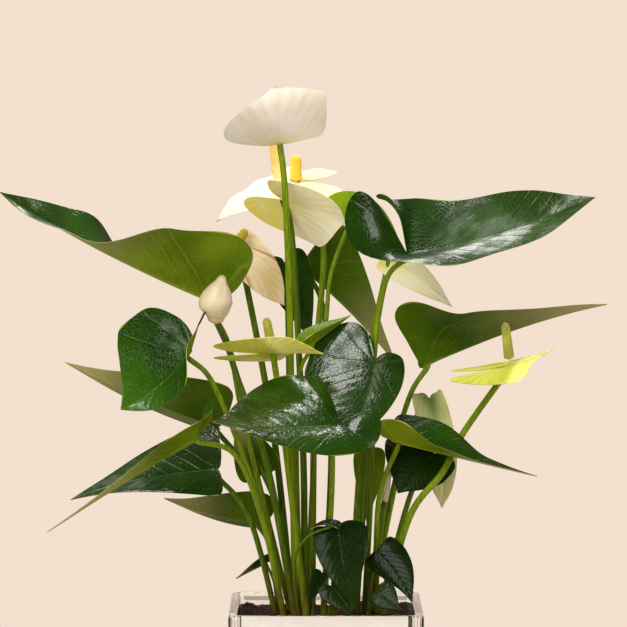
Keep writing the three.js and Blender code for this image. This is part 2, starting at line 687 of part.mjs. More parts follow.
for (const row of leaves) {
  group.add(named(leafSolid(row), row.name, leaf));
}
for (const row of spathes) {
  const line = stemLine(row);
  const stem = rod(line, evenRadii(line, stemThick, stemThick * 0.85), 6);
  const small = row.left.wide < 25;
  let sheet = new Sheet(row, spatheOutline).solid(small ? 1 : 2, 2);
  sheet = sheet.subtract(rod(line, evenRadii(line, stemThick + fitGap, stemThick * 0.85 + fitGap), 6));
  const mate = spadices.find((other) => other.name === row.name);
  if (mate) {
    const path = spadixLine(mate);
    sheet = sheet.subtract(rod(path, spadixRadii(mate, path, fitGap), 8));
    group.add(named(rod(path, spadixRadii(mate, path, 0), 8), `${row.name}_spadix`, spadix));
  }
  group.add(named(sheet, `${row.name}_spathe`, petal));
  group.add(named(stem.trimByPlane([0, 0, 1], rootLevel), `${row.name}_stem`, stemGreen));
}
for (const row of buds) {
  const line = smoothLine(row.path, 2);
  const radii = smoothLine(row.thick.map((r) => [r, 0, 0]), 2).map((r) => Math.max(r[0], 0.4));
  group.add(named(rod(line, radii, 10), `${row.name}_spathe`, petal));
  const stem = smoothLine(rooted(row.stalk), 2);
  const stalk = rod(stem, evenRadii(stem, stemThick, stemThick * 0.8), 6);
  group.add(named(stalk.trimByPlane([0, 0, 1], rootLevel), `${row.name}_stem`, stemGreen));
}

export default group;
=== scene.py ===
import math

import bpy
import numpy as np
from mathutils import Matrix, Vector


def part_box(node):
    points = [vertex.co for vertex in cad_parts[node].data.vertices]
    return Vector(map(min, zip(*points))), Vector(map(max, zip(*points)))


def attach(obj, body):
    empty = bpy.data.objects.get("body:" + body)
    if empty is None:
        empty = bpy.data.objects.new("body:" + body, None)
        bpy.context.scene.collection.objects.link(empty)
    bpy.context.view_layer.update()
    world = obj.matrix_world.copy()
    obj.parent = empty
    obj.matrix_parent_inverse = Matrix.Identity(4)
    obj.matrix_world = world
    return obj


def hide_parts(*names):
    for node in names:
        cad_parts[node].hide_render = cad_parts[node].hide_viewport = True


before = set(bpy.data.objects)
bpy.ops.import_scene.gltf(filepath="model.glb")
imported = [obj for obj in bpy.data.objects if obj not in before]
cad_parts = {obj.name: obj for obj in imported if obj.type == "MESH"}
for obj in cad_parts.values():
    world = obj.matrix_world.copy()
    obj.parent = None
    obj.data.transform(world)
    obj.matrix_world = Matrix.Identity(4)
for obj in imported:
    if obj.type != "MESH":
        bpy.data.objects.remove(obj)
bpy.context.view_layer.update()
mm = 0.001


# half of a flat leaf and of a flat spathe: how far along the blade, below 0 in the lobe, and how far across
leafOutline = [
    (0, 0), (-0.62, 0.1), (-1, 0.42), (-0.62, 0.86), (0.1, 1),
    (0.34, 0.86), (0.58, 0.58), (0.8, 0.25), (1, 0),
]
spatheOutline = [
    (0, 0), (-0.75, 0.16), (-1, 0.48), (-0.5, 0.88), (0.22, 1),
    (0.5, 0.86), (0.74, 0.55), (0.92, 0.16), (1, 0),
]


def unitRows(vectors):
    return vectors / np.linalg.norm(vectors, axis=-1, keepdims=True)


def smoothLine(points, steps):
    points = [np.array(p, float) for p in points]
    ends = [2 * points[0] - points[1]] + points + [2 * points[-1] - points[-2]]
    line = []
    for i in range(1, len(ends) - 2):
        a, b, c, d = ends[i - 1:i + 3]
        for k in range(steps):
            t = k / steps
            curve = 2 * b + (c - a) * t + (2 * a - 5 * b + 4 * c - d) * t * t
            line.append(0.5 * (curve + (3 * b - a - 3 * c + d) * t ** 3))
    line.append(ends[-2])
    return np.array(line)


def ease(values, t):  # from one list entry to the next, softly, as t goes from 0 to 1
    values = np.array(values, float)
    if len(values) == 1:
        return np.repeat(values, len(t), axis=0)
    place = np.clip(t, 0, 1) * (len(values) - 1)
    i = np.minimum(place.astype(int), len(values) - 2)
    k = place - i
    k = k * k * (3 - 2 * k)
    if values.ndim == 2:
        k = k[:, None]
    return values[i] + (values[i + 1] - values[i]) * k


def linkObject(name, data):
    made = bpy.data.objects.new(name, data)
    bpy.context.scene.collection.objects.link(made)
    return made


def makePiece(name, points, faces, materials, picks=None, places=None, sharp=None):
    mesh = bpy.data.meshes.new(name)
    mesh.from_pydata([tuple(p) for p in np.asarray(points) * mm], [], faces)
    for material in materials:
        mesh.materials.append(material)
    if picks is not None:
        mesh.polygons.foreach_set("material_index", picks)
    mesh.polygons.foreach_set("use_smooth", [True] * len(faces))
    if places is not None:
        layer = mesh.attributes.new("place", "FLOAT_VECTOR", "POINT")
        layer.data.foreach_set("vector", np.asarray(places, float).ravel())
    if sharp:
        mesh.set_sharp_from_angle(angle=math.radians(sharp))
    mesh.validate()
    mesh.update()
    return linkObject(name, mesh)


# a round rod closed at both ends: its points, its faces, counted from start, and each point's place on it
def rodMesh(line, radii, sides, start=0):
    line = np.asarray(line)
    ahead = unitRows(np.gradient(line, axis=0))
    sideways = [0.31, 0.95, 0.05]  # no rod runs this way
    across = np.cross(ahead[0], sideways)
    turns = np.arange(sides) / sides * 2 * math.pi
    points, share = [], []
    for i, p in enumerate(line):
        across = across - ahead[i] * np.dot(across, ahead[i])
        across = across / np.linalg.norm(across)
        other = np.cross(ahead[i], across)
        for turn in turns:
            points.append(p + (across * math.cos(turn) + other * math.sin(turn)) * radii[i])
            share.append((turn / 2 / math.pi, 0, i / (len(line) - 1)))
    points += [line[0] - ahead[0] * radii[0] * 0.5, line[-1] + ahead[-1] * radii[-1] * 0.5]
    share += [(0, 0, 0), (0, 0, 1)]
    foot, head = start + len(points) - 2, start + len(points) - 1
    faces = []
    for k in range(sides):
        n = (k + 1) % sides
        last = (len(line) - 1) * sides
        faces.append((foot, start + n, start + k))
        faces.append((head, start + last + k, start + last + n))
        for i in range(len(line) - 1):
            row = start + i * sides
            faces.append((row + k, row + n, row + sides + n, row + sides + k))
    return points, faces, share


bladeShape = dict(
    seat=4, seatShare=0.06,  # where the blade starts in front of the stalk's end, less in a short one
    holdAhead=1.2, holdBelow=0.4,  # where the stalk ends under the blade, from the seat
    edgeThin=0.55,  # how much thinner the margin is
    ribHalf=1.3,  # half the midrib's width
)


class BladeSheet:  # the curved sheet of one leaf or spathe: where a point of the flat heart goes in space
    def __init__(self, row, outline):
        self.row = row
        self.outline = outline
        self.base = np.array(row["stalk"][-1], float)
        self.tip = np.array(row["tip"], float)
        self.control = (self.base + self.tip) / 2 + 2 * np.array(row.get("bend", (0, 0, 0)), float)
        steps = self.rib(np.linspace(0, 1, 21))
        self.length = np.linalg.norm(np.diff(steps, axis=0), axis=1).sum()
        self.seat = min(bladeShape["seat"], self.length * bladeShape["seatShare"])

    def half(self, sign):
        return self.row["right"] if sign > 0 else self.row["left"]

    def rib(self, t):
        t = np.asarray(t)[:, None]
        return (1 - t) ** 2 * self.base + 2 * t * (1 - t) * self.control + t * t * self.tip

    def ahead(self, t):
        t = np.asarray(t)[:, None]
        return unitRows((1 - t) * (self.control - self.base) + t * (self.tip - self.control))

    def face(self, t):
        wanted = ease(unitRows(np.array(self.row["face"], float)), t)
        along = self.ahead(t)
        return unitRows(wanted - along * np.sum(wanted * along, axis=1, keepdims=True))

    def point(self, x, y, sign):  # y is zero or more, sign says which half
        half = self.half(sign)
        t = x / self.length
        held = np.clip(t, 0, 1)
        along, up = self.ahead(held), self.face(held)
        side = np.cross(along, up) * sign
        lift = np.radians(ease(half["lift"], held))
        share = y / half["wide"]
        aside = np.cos(lift) * y
        lifted = np.sin(lift) * y + half.get("curl", 0) * share ** 2
        behind = np.minimum(x, 0)
        turn = np.radians(half.get("fold", 0) * (1 - share ** 2))
        lifted = lifted - behind * np.sin(turn)
        lifted = lifted + half.get("rise", 0) * (behind / half["lobe"]) ** 2
        size, count, phase = self.row.get("wave", (0, 0, 0))
        lifted = lifted + size * share ** 2 * np.sin(count * math.pi * 2 * t + phase)
        spot = self.rib(held) + along * (behind * np.cos(turn))[:, None]
        return spot + side * aside[:, None] + up * lifted[:, None]

    def margin(self, sign, steps):
        half = self.half(sign)
        full = half.get("full", self.row.get("full", 1))
        flat = []
        for along, across in self.outline:
            x = along * half["lobe"] if along < 0 else self.length * along ** (1 / full)
            flat.append((x, across * half["wide"], 0))
        return smoothLine(flat, steps)

    def holdPoint(self):
        t = np.array([(self.seat + bladeShape["holdAhead"]) / self.length])
        return self.rib(t)[0] - self.face(t)[0] * bladeShape["holdBelow"]


# a closed thin shell on a sheet: points, faces, each face's pick (0 above, 1 below, 2 on the margin) and each
# point's place, which is its vein, how far across it is and how far along
def sheetMesh(sheet, shape, veinsAt):
    columns = shape["columns"]
    points, faces, picks, places, known = [], [], [], [], {}

    def corner(p, mark):
        finest = 500  # points closer than 1/500 mm are one
        key = tuple(np.round(p * finest).astype(int))
        if key not in known:
            known[key] = len(points)
            points.append(p)
            places.append(mark)
        return known[key]

    def addFace(pick, *corners):
        ring = [c for i, c in enumerate(corners) if c != corners[i - 1]]
        if len(set(ring)) > 2:
            faces.append(tuple(ring))
            picks.append(pick)

    for sign in (-1, 1):
        half = sheet.half(sign)
        margin = sheet.margin(sign, shape["steps"])
        v = np.linspace(0, 1, len(margin))
        lobePart = 0.25  # about this share of the margin lies behind the stalk
        start = sheet.length * np.maximum(0, (v - lobePart) / (1 - lobePart)) ** 1.15
        start = np.maximum(sheet.seat, start)
        share = (np.arange(columns + 1) / columns) ** 1.2
        x = (start[:, None] + (margin[:, :1] - start[:, None]) * share).ravel()
        y = (np.maximum(margin[:, 1:2], 0) * share).ravel()
        t = np.clip(x / sheet.length, 0, 1)
        here = sheet.point(x, y, sign)
        reach = 0.6  # how far away the slope is felt
        held = np.minimum(x, sheet.length - reach)
        out = sheet.point(x, y + reach, sign) - here
        on = sheet.point(held + reach, y, sign) - sheet.point(held, y, sign)
        normal = unitRows(np.cross(out, on) * sign)
        onRib = y < 1e-6
        normal[onRib] = sheet.face(t)[onRib]
        across = y / half["wide"]
        veins = veinsAt(x / sheet.length, across)
        edge = np.tile(share, len(margin))
        swell = shape["quilt"] * np.abs(np.sin(math.pi * veins)) ** 0.7
        swell = swell * np.sin(math.pi * np.minimum(edge, 1)) ** 0.5
        swell = swell * np.clip(4 * (1 - t), 0, 1)  # none at the tip
        body = shape["thick"] / 2 * (1 - bladeShape["edgeThin"] * edge ** 6)
        ridge = shape["rib"] * np.exp(-(y / bladeShape["ribHalf"]) ** 2) * (1 - t) ** 0.7 * (x >= 0)
        over = here + normal * (body + swell)[:, None]
        under = here - normal * (body - swell + ridge)[:, None]
        marks = np.stack([veins, across, x / sheet.length], axis=1)
        wide = columns + 1
        top = [corner(over[i], marks[i]) for i in range(len(over))]
        low = [corner(under[i], marks[i]) for i in range(len(under))]
        for i in range(len(margin) - 1):
            for k in range(columns):
                a, b = i * wide + k, i * wide + k + 1
                c, d = b + wide, a + wide
                if sign > 0:
                    addFace(0, top[a], top[b], top[c], top[d])
                    addFace(1, low[a], low[d], low[c], low[b])
                else:
                    addFace(0, top[d], top[c], top[b], top[a])
                    addFace(1, low[b], low[c], low[d], low[a])
            a, d = i * wide + columns, (i + 1) * wide + columns
            ring = (top[a], low[a], low[d], top[d])
            addFace(2, *(ring if sign > 0 else ring[::-1]))
    return points, faces, picks, places


def shade(red, green, blue):  # a display colour as the renderer wants it
    light = [c / 255 for c in (red, green, blue)]
    return tuple([c / 12.92 if c < 0.04 else ((c + 0.055) / 1.055) ** 2.4 for c in light] + [1])


def inShades(tone):  # the same finish with its display colours changed by shade
    return {key: shade(*value) if isinstance(value, tuple) else value for key, value in tone.items()}


class NodeTree:  # short ways to add nodes to a tree
    def __init__(self, tree):
        self.tree = tree

    def put(self, socket, value):
        if isinstance(value, bpy.types.NodeSocket):
            self.tree.links.new(value, socket)
        else:
            socket.default_value = value

    def add(self, kind, inputs=None, **settings):
        node = self.tree.nodes.new(kind)
        for key, value in settings.items():
            setattr(node, key, value)
        for key, value in (inputs or {}).items():
            self.put(node.inputs[key], value)
        return node

    def maths(self, operation, a, b=0.0, clamp=False):
        node = self.add("ShaderNodeMath", {0: a, 1: b}, operation=operation, use_clamp=clamp)
        return node.outputs[0]

    def times(self, a, b):
        return self.maths("MULTIPLY", a, b)

    def plus(self, a, b):
        return self.maths("ADD", a, b)

    def mix(self, share, first, last):
        return self.add("ShaderNodeMix", {0: share, 6: first, 7: last}, data_type="RGBA").outputs[2]


class Paint(NodeTree):  # one material
    def __init__(self, name, roughness=0.5, ior=1.45, shine=0.5, coat=0.0, coatRoughness=0.1):
        self.material = bpy.data.materials.new(name)
        self.material.use_nodes = True
        super().__init__(self.material.node_tree)
        self.shader = self.tree.nodes["Principled BSDF"]
        self.shader.inputs["Roughness"].default_value = roughness
        self.shader.inputs["IOR"].default_value = ior
        self.shader.inputs["Specular IOR Level"].default_value = shine
        self.shader.inputs["Coat Weight"].default_value = coat
        self.shader.inputs["Coat Roughness"].default_value = coatRoughness
        self.spot = self.add("ShaderNodeTexCoord").outputs["Object"]

    def place(self):  # the three numbers that each point of a leaf, petal or rod carries
        source = self.add("ShaderNodeAttribute", attribute_name="place")
        parts = self.add("ShaderNodeSeparateXYZ", {"Vector": source.outputs["Vector"]})
        return parts.outputs[0], parts.outputs[1], parts.outputs[2]

    def band(self, value, low, high, first=0.0, last=1.0):
        names = {"Value": value, "From Min": low, "From Max": high, "To Min": first, "To Max": last}
        return self.add("ShaderNodeMapRange", names, interpolation_type="SMOOTHSTEP").outputs[0]

    def noise(self, scale, detail=2.0, stretch=None):
        where = self.spot
        if stretch:
            where = self.add("ShaderNodeMapping", {"Vector": where, "Scale": stretch}).outputs[0]
        names = {"Vector": where, "Scale": scale, "Detail": detail}
        return self.add("ShaderNodeTexNoise", names).outputs[0]

    def net(self, scale):  # thin lines round small cells
        names = {"Vector": self.spot, "Scale": scale}
        node = self.add("ShaderNodeTexVoronoi", names, feature="DISTANCE_TO_EDGE")
        return self.band(node.outputs["Distance"], 0.0, 0.12, 1.0, 0.0)

    def bump(self, height, distance):
        names = {"Height": height, "Distance": distance, "Strength": 1.0}
        bumped = self.add("ShaderNodeBump", names).outputs[0]
        self.put(self.shader.inputs["Normal"], bumped)
        self.put(self.shader.inputs["Coat Normal"], bumped)

    def colour(self, value):
        self.put(self.shader.inputs["Base Color"], value)

    def roughness(self, value):
        self.put(self.shader.inputs["Roughness"], value)


class Growth(NodeTree):  # a geometry node tree that grows a piece on a curve or a mesh
    def __init__(self, name, inputs):
        super().__init__(bpy.data.node_groups.new(name, "GeometryNodeTree"))
        sockets = self.tree.interface
        sockets.new_socket("Geometry", in_out="INPUT", socket_type="NodeSocketGeometry")
        for label, kind in inputs.items():
            sockets.new_socket(label, in_out="INPUT", socket_type="NodeSocket" + kind)
        sockets.new_socket("Material", in_out="INPUT", socket_type="NodeSocketMaterial")
        sockets.new_socket("Geometry", in_out="OUTPUT", socket_type="NodeSocketGeometry")
        self.given = self.add("NodeGroupInput").outputs

    def vector(self, operation, a, b):
        key = "Scale" if operation == "SCALE" else 1
        return self.add("ShaderNodeVectorMath", {0: a, key: b}, operation=operation).outputs[0]

    def between(self, share, foot, top):
        names = {"Value": share, "To Min": foot, "To Max": top}
        return self.add("ShaderNodeMapRange", names).outputs[0]

    def chance(self, kind, low, high, seed):
        names = {"Min": low, "Max": high, "Seed": seed}
        return self.add("FunctionNodeRandomValue", names, data_type=kind).outputs

    def finish(self, geometry):
        real = self.add("GeometryNodeRealizeInstances", {0: geometry}).outputs[0]
        smooth = self.add("GeometryNodeSetShadeSmooth", {0: real}).outputs[0]
        names = {"Geometry": smooth, "Material": self.given["Material"]}
        painted = self.add("GeometryNodeSetMaterial", names).outputs[0]
        self.add("NodeGroupOutput", {0: painted})

    def run(self, carrier, values, name, material):  # the tree's result as a plain mesh piece
        modifier = carrier.modifiers.new("grow", "NODES")
        modifier.node_group = self.tree
        sockets = {s.name: s.identifier for s in self.tree.interface.items_tree if s.in_out == "INPUT"}
        modifier[sockets["Material"]] = material
        for label, value in values.items():
            modifier[sockets[label]] = value
        graph = bpy.context.evaluated_depsgraph_get()
        mesh = bpy.data.meshes.new_from_object(carrier.evaluated_get(graph), depsgraph=graph)
        carrier.modifiers.remove(modifier)
        bpy.data.objects.remove(carrier)
        mesh.name = name
        mesh.materials.clear()
        mesh.materials.append(material)
        return linkObject(name, mesh)


def curveCarrier(points):  # a curve for a growth to run on
    curve = bpy.data.curves.new("path", "CURVE")
    curve.dimensions = "3D"
    spline = curve.splines.new("POLY")
    spline.points.add(len(points) - 1)
    for point, p in zip(spline.points, points):
        point.co = (p[0] * mm, p[1] * mm, p[2] * mm, 1)
    return linkObject("path", curve)


def leafPaint(name, tone):
    tone = inShades(tone)
    paint = Paint(name, shine=tone["shine"], coat=tone["coat"], coatRoughness=tone["coatRoughness"])
    veins, across, along = paint.place()
    wander = paint.times(paint.maths("SUBTRACT", paint.noise(45, 1), 0.5), 0.35)
    gap = paint.maths("PINGPONG", paint.plus(veins, wander), 0.5)
    lateral = paint.band(gap, 0.0, tone["veinWide"], 1.0, 0.0)
    lateral = paint.times(lateral, paint.band(across, 0.8, 1.0, 1.0, 0.15))
    rib = paint.band(across, 0.0, tone["ribWide"], 1.0, 0.0)
    lines = paint.maths("MAXIMUM", paint.times(lateral, 0.6), rib)
    cells = paint.net(tone["net"])
    patches = paint.band(paint.noise(22, 3), 0.35, 0.7)
    ground = paint.mix(patches, tone["dark"], tone["light"])
    between = paint.times(paint.band(gap, 0.1, 0.5), tone["between"])
    ground = paint.mix(between, ground, tone["light"])
    # painted sheen: the blade turns paler and greyer towards its tip
    far = paint.times(paint.band(along, 0.25, 1.0), tone["farShow"])
    ground = paint.mix(far, ground, tone["far"])
    ground = paint.mix(paint.times(cells, 0.12), ground, tone["vein"])
    ground = paint.mix(paint.times(lines, tone["veinShow"]), ground, tone["vein"])
    ground = paint.mix(paint.band(across, 0.965, 0.995), ground, tone["margin"])
    paint.colour(ground)
    paint.roughness(paint.band(paint.noise(60, 3), 0.3, 0.8, tone["rough"], tone["rough"] + 0.12))
    gloss = paint.band(paint.noise(50, 4), 0.4, 0.58, tone["coat"] * 0.2, tone["coat"])
    paint.put(paint.shader.inputs["Coat Weight"], gloss)
    height = paint.times(lines, tone["veinStand"])
    height = paint.plus(height, paint.times(paint.noise(55, 4), 0.9))
    height = paint.plus(height, paint.times(cells, -0.08))
    paint.bump(height, tone["relief"] * mm)
    return paint.material


def stemPaint(name, tone):
    tone = inShades(tone)
    paint = Paint(name, shine=0.2)
    streak = paint.noise(1, 3, stretch=(900, 900, 25))
    ground = paint.mix(paint.band(streak, 0.35, 0.68), tone["dark"], tone["light"])
    height = paint.add("ShaderNodeSeparateXYZ", {"Vector": paint.spot}).outputs[2]
    soilAt = 0.13  # metres
    low = paint.band(height, soilAt, soilAt + tone["sheath"] * mm, 1.0, 0.0)
    low = paint.times(low, paint.band(paint.noise(90, 3), 0.38, 0.62))
    ground = paint.mix(low, ground, tone["foot"])
    flecks = paint.band(paint.noise(700, 2), 0.64, 0.72)
    ground = paint.mix(paint.times(flecks, 0.35), ground, tone["light"])
    paint.colour(ground)
    paint.roughness(paint.band(streak, 0.2, 0.8, 0.34, 0.5))
    paint.bump(streak, 0.25 * mm)
    return paint.material


def petalPaint(name, tone):
    tone = inShades(tone)
    paint = Paint(name)
    veins, across, along = paint.place()
    wander = paint.times(paint.maths("SUBTRACT", paint.noise(38, 2), 0.5), 2.2)
    gap = paint.maths("PINGPONG", paint.plus(veins, wander), 0.5)
    lines = paint.band(gap, 0.0, 0.4, 1.0, 0.0)
    lines = paint.times(lines, paint.band(paint.noise(26, 2), 0.3, 0.65, 0.25, 1.0))
    outwards = paint.plus(along, paint.times(across, 0.35))
    heart = paint.band(outwards, tone["heartEnd"], 0.0)
    heart = paint.times(heart, paint.band(paint.noise(40, 3), 0.2, 0.7, 0.6, 1.0))
    ground = paint.mix(paint.band(paint.noise(35, 4), 0.3, 0.7), tone["body"], tone["second"])
    ground = paint.mix(heart, ground, tone["heart"])
    ground = paint.mix(paint.times(lines, tone["veinShow"]), ground, tone["vein"])
    edge = paint.times(paint.band(across, 0.9, 1.0), paint.noise(120, 2))
    ground = paint.mix(edge, ground, tone["edge"])
    if "streak" in tone:  # a withered brown line
        middle = paint.band(paint.noise(30, 1), 0.2, 0.8, 3.3, 3.9)
        off = paint.maths("ABSOLUTE", paint.maths("SUBTRACT", veins, middle))
        streak = paint.times(paint.band(off, 0.1, 0.22, 1.0, 0.0), paint.band(along, 0.1, 0.25))
        streak = paint.times(streak, paint.band(along, 0.5, 0.62, tone["streakShow"], 0.0))
        ground = paint.mix(streak, ground, tone["streak"])
    tipped = paint.times(paint.band(along, 0.93, 1.0), tone["tipShow"])
    ground = paint.mix(tipped, ground, tone["tip"])
    paint.colour(ground)
    paint.roughness(paint.band(paint.noise(80, 3), 0.3, 0.7, 0.42, 0.58))
    crumple = paint.times(paint.noise(160, 3), 0.35)
    paint.bump(paint.plus(paint.times(lines, 0.6), crumple), 0.35 * mm)
    return paint.material


# display colours and shares; upper faces start from leafBase, undersides from underBase
# far, shown as much as farShow, is a painted sheen towards the tip
leafBase = dict(
    shine=0.05, coatRoughness=0.08, rough=0.42, net=330, between=0.35, farShow=0.25,
    veinWide=0.06, ribWide=0.03, veinShow=0.3, veinStand=-0.6, relief=0.5,
)
underBase = dict(
    leafBase, coat=0.1, coatRoughness=0.25, rough=0.5, between=0.3,
    veinWide=0.07, ribWide=0.04, veinShow=0.4, veinStand=0.8, relief=0.3,
)
leafTones = {
    "deep": dict(
        leafBase, dark=(14, 42, 1), light=(34, 70, 2), far=(62, 84, 30), vein=(66, 98, 22),
        margin=(120, 140, 50), coat=0.9, coatRoughness=0.07, veinStand=-0.5),
    # painted shade: a darker, duller copy of deep for leaves that sit in the bundle's shadow
    "dark": dict(
        leafBase, dark=(8, 26, 1), light=(24, 52, 3), far=(30, 46, 12), vein=(40, 64, 12),
        margin=(90, 110, 36), coat=0.35, rough=0.45, veinShow=0.14, veinStand=-0.5),
    "mid": dict(
        leafBase, dark=(14, 52, 1), light=(36, 84, 1), far=(74, 112, 18), vein=(110, 148, 36),
        margin=(150, 170, 60), coat=0.8, between=0.4, veinShow=0.35),
    "young": dict(
        leafBase, dark=(84, 112, 1), light=(118, 146, 4), far=(136, 158, 30), farShow=0.3,
        vein=(160, 180, 56), margin=(176, 190, 80), coat=0.5, coatRoughness=0.1, ribWide=0.035,
        between=0.3, relief=0.4),
    "olive": dict(
        underBase, dark=(42, 70, 2), light=(76, 102, 6), far=(168, 160, 108), farShow=0.85,
        vein=(118, 140, 40), margin=(160, 172, 80)),
    # painted backlight: a brighter copy of olive for undersides with light shining through them
    "lit": dict(
        underBase, dark=(78, 104, 4), light=(116, 138, 20), far=(188, 180, 128), farShow=0.75,
        vein=(160, 176, 70), margin=(184, 190, 110)),
}
stemTones = {
    "fresh": dict(dark=(92, 116, 2), light=(124, 146, 8), foot=(110, 80, 24), sheath=45),
    "green": dict(dark=(62, 90, 2), light=(92, 118, 8), foot=(98, 72, 24), sheath=60),
}
petalTones = {
    "white": dict(
        body=(250, 245, 236), second=(236, 226, 208), heart=(236, 230, 168), heartEnd=0.25,
        vein=(206, 192, 170), veinShow=0.24, edge=(236, 226, 196), tip=(170, 140, 60), tipShow=0.8),
    # painted shade: the white spathe's colours darkened for the closed buds
    "bud": dict(
        body=(222, 208, 180), second=(204, 188, 150), heart=(196, 186, 112), heartEnd=0.2,
        vein=(190, 174, 144), veinShow=0.2, edge=(232, 214, 188), tip=(170, 150, 60), tipShow=0.5),
    "cream": dict(
        body=(255, 251, 230), second=(255, 247, 200), heart=(248, 236, 96), heartEnd=0.5,
        vein=(240, 228, 160), veinShow=0.3, edge=(255, 252, 240), tip=(190, 170, 80), tipShow=0.5),
    "peach": dict(
        body=(238, 220, 186), second=(212, 186, 130), heart=(196, 182, 90), heartEnd=0.3, vein=(180, 140, 84),
        veinShow=0.35, edge=(244, 232, 208), tip=(196, 160, 110), tipShow=0.4,
        streak=(176, 96, 40), streakShow=0.75),
    "green": dict(
        body=(246, 238, 100), second=(252, 248, 150), heart=(180, 186, 40), heartEnd=0.3,
        vein=(156, 160, 50), veinShow=0.4, edge=(246, 240, 190), tip=(180, 176, 80), tipShow=0.4),
    "hanging": dict(
        body=(206, 202, 146), second=(160, 166, 92), heart=(76, 104, 16), heartEnd=0.4,
        vein=(136, 146, 70), veinShow=0.4, edge=(234, 228, 190), tip=(180, 180, 100), tipShow=0.4),
}
leafPaints = {key: leafPaint("leaf_" + key, tone) for key, tone in leafTones.items()}
stemPaints = {key: stemPaint("stem_" + key, tone) for key, tone in stemTones.items()}
petalPaints = {key: petalPaint("petal_" + key, tone) for key, tone in petalTones.items()}
print("finishes of the plant: done")


leafShape = dict(
    thick=0.8, steps=9, columns=16,
    quilt=0.3, rib=0.9,  # how high the blade swells between the veins, and the midrib below
    lateralVeins=9, lobeVeins=4, slant=0.42,
    stalkThick=2.3, stalkTaper=0.8, stalkSides=14,
)


# one half of a blade: its width, how long its lobe is behind the stalk, and its lift in degrees from base to
# tip; curl bends its margin, fold turns its lobe up, rise lifts its lobe, and full widens it towards the tip
def half(wide, lobe, lift, **more):
    return dict(wide=wide, lobe=lobe, lift=lift, **more)
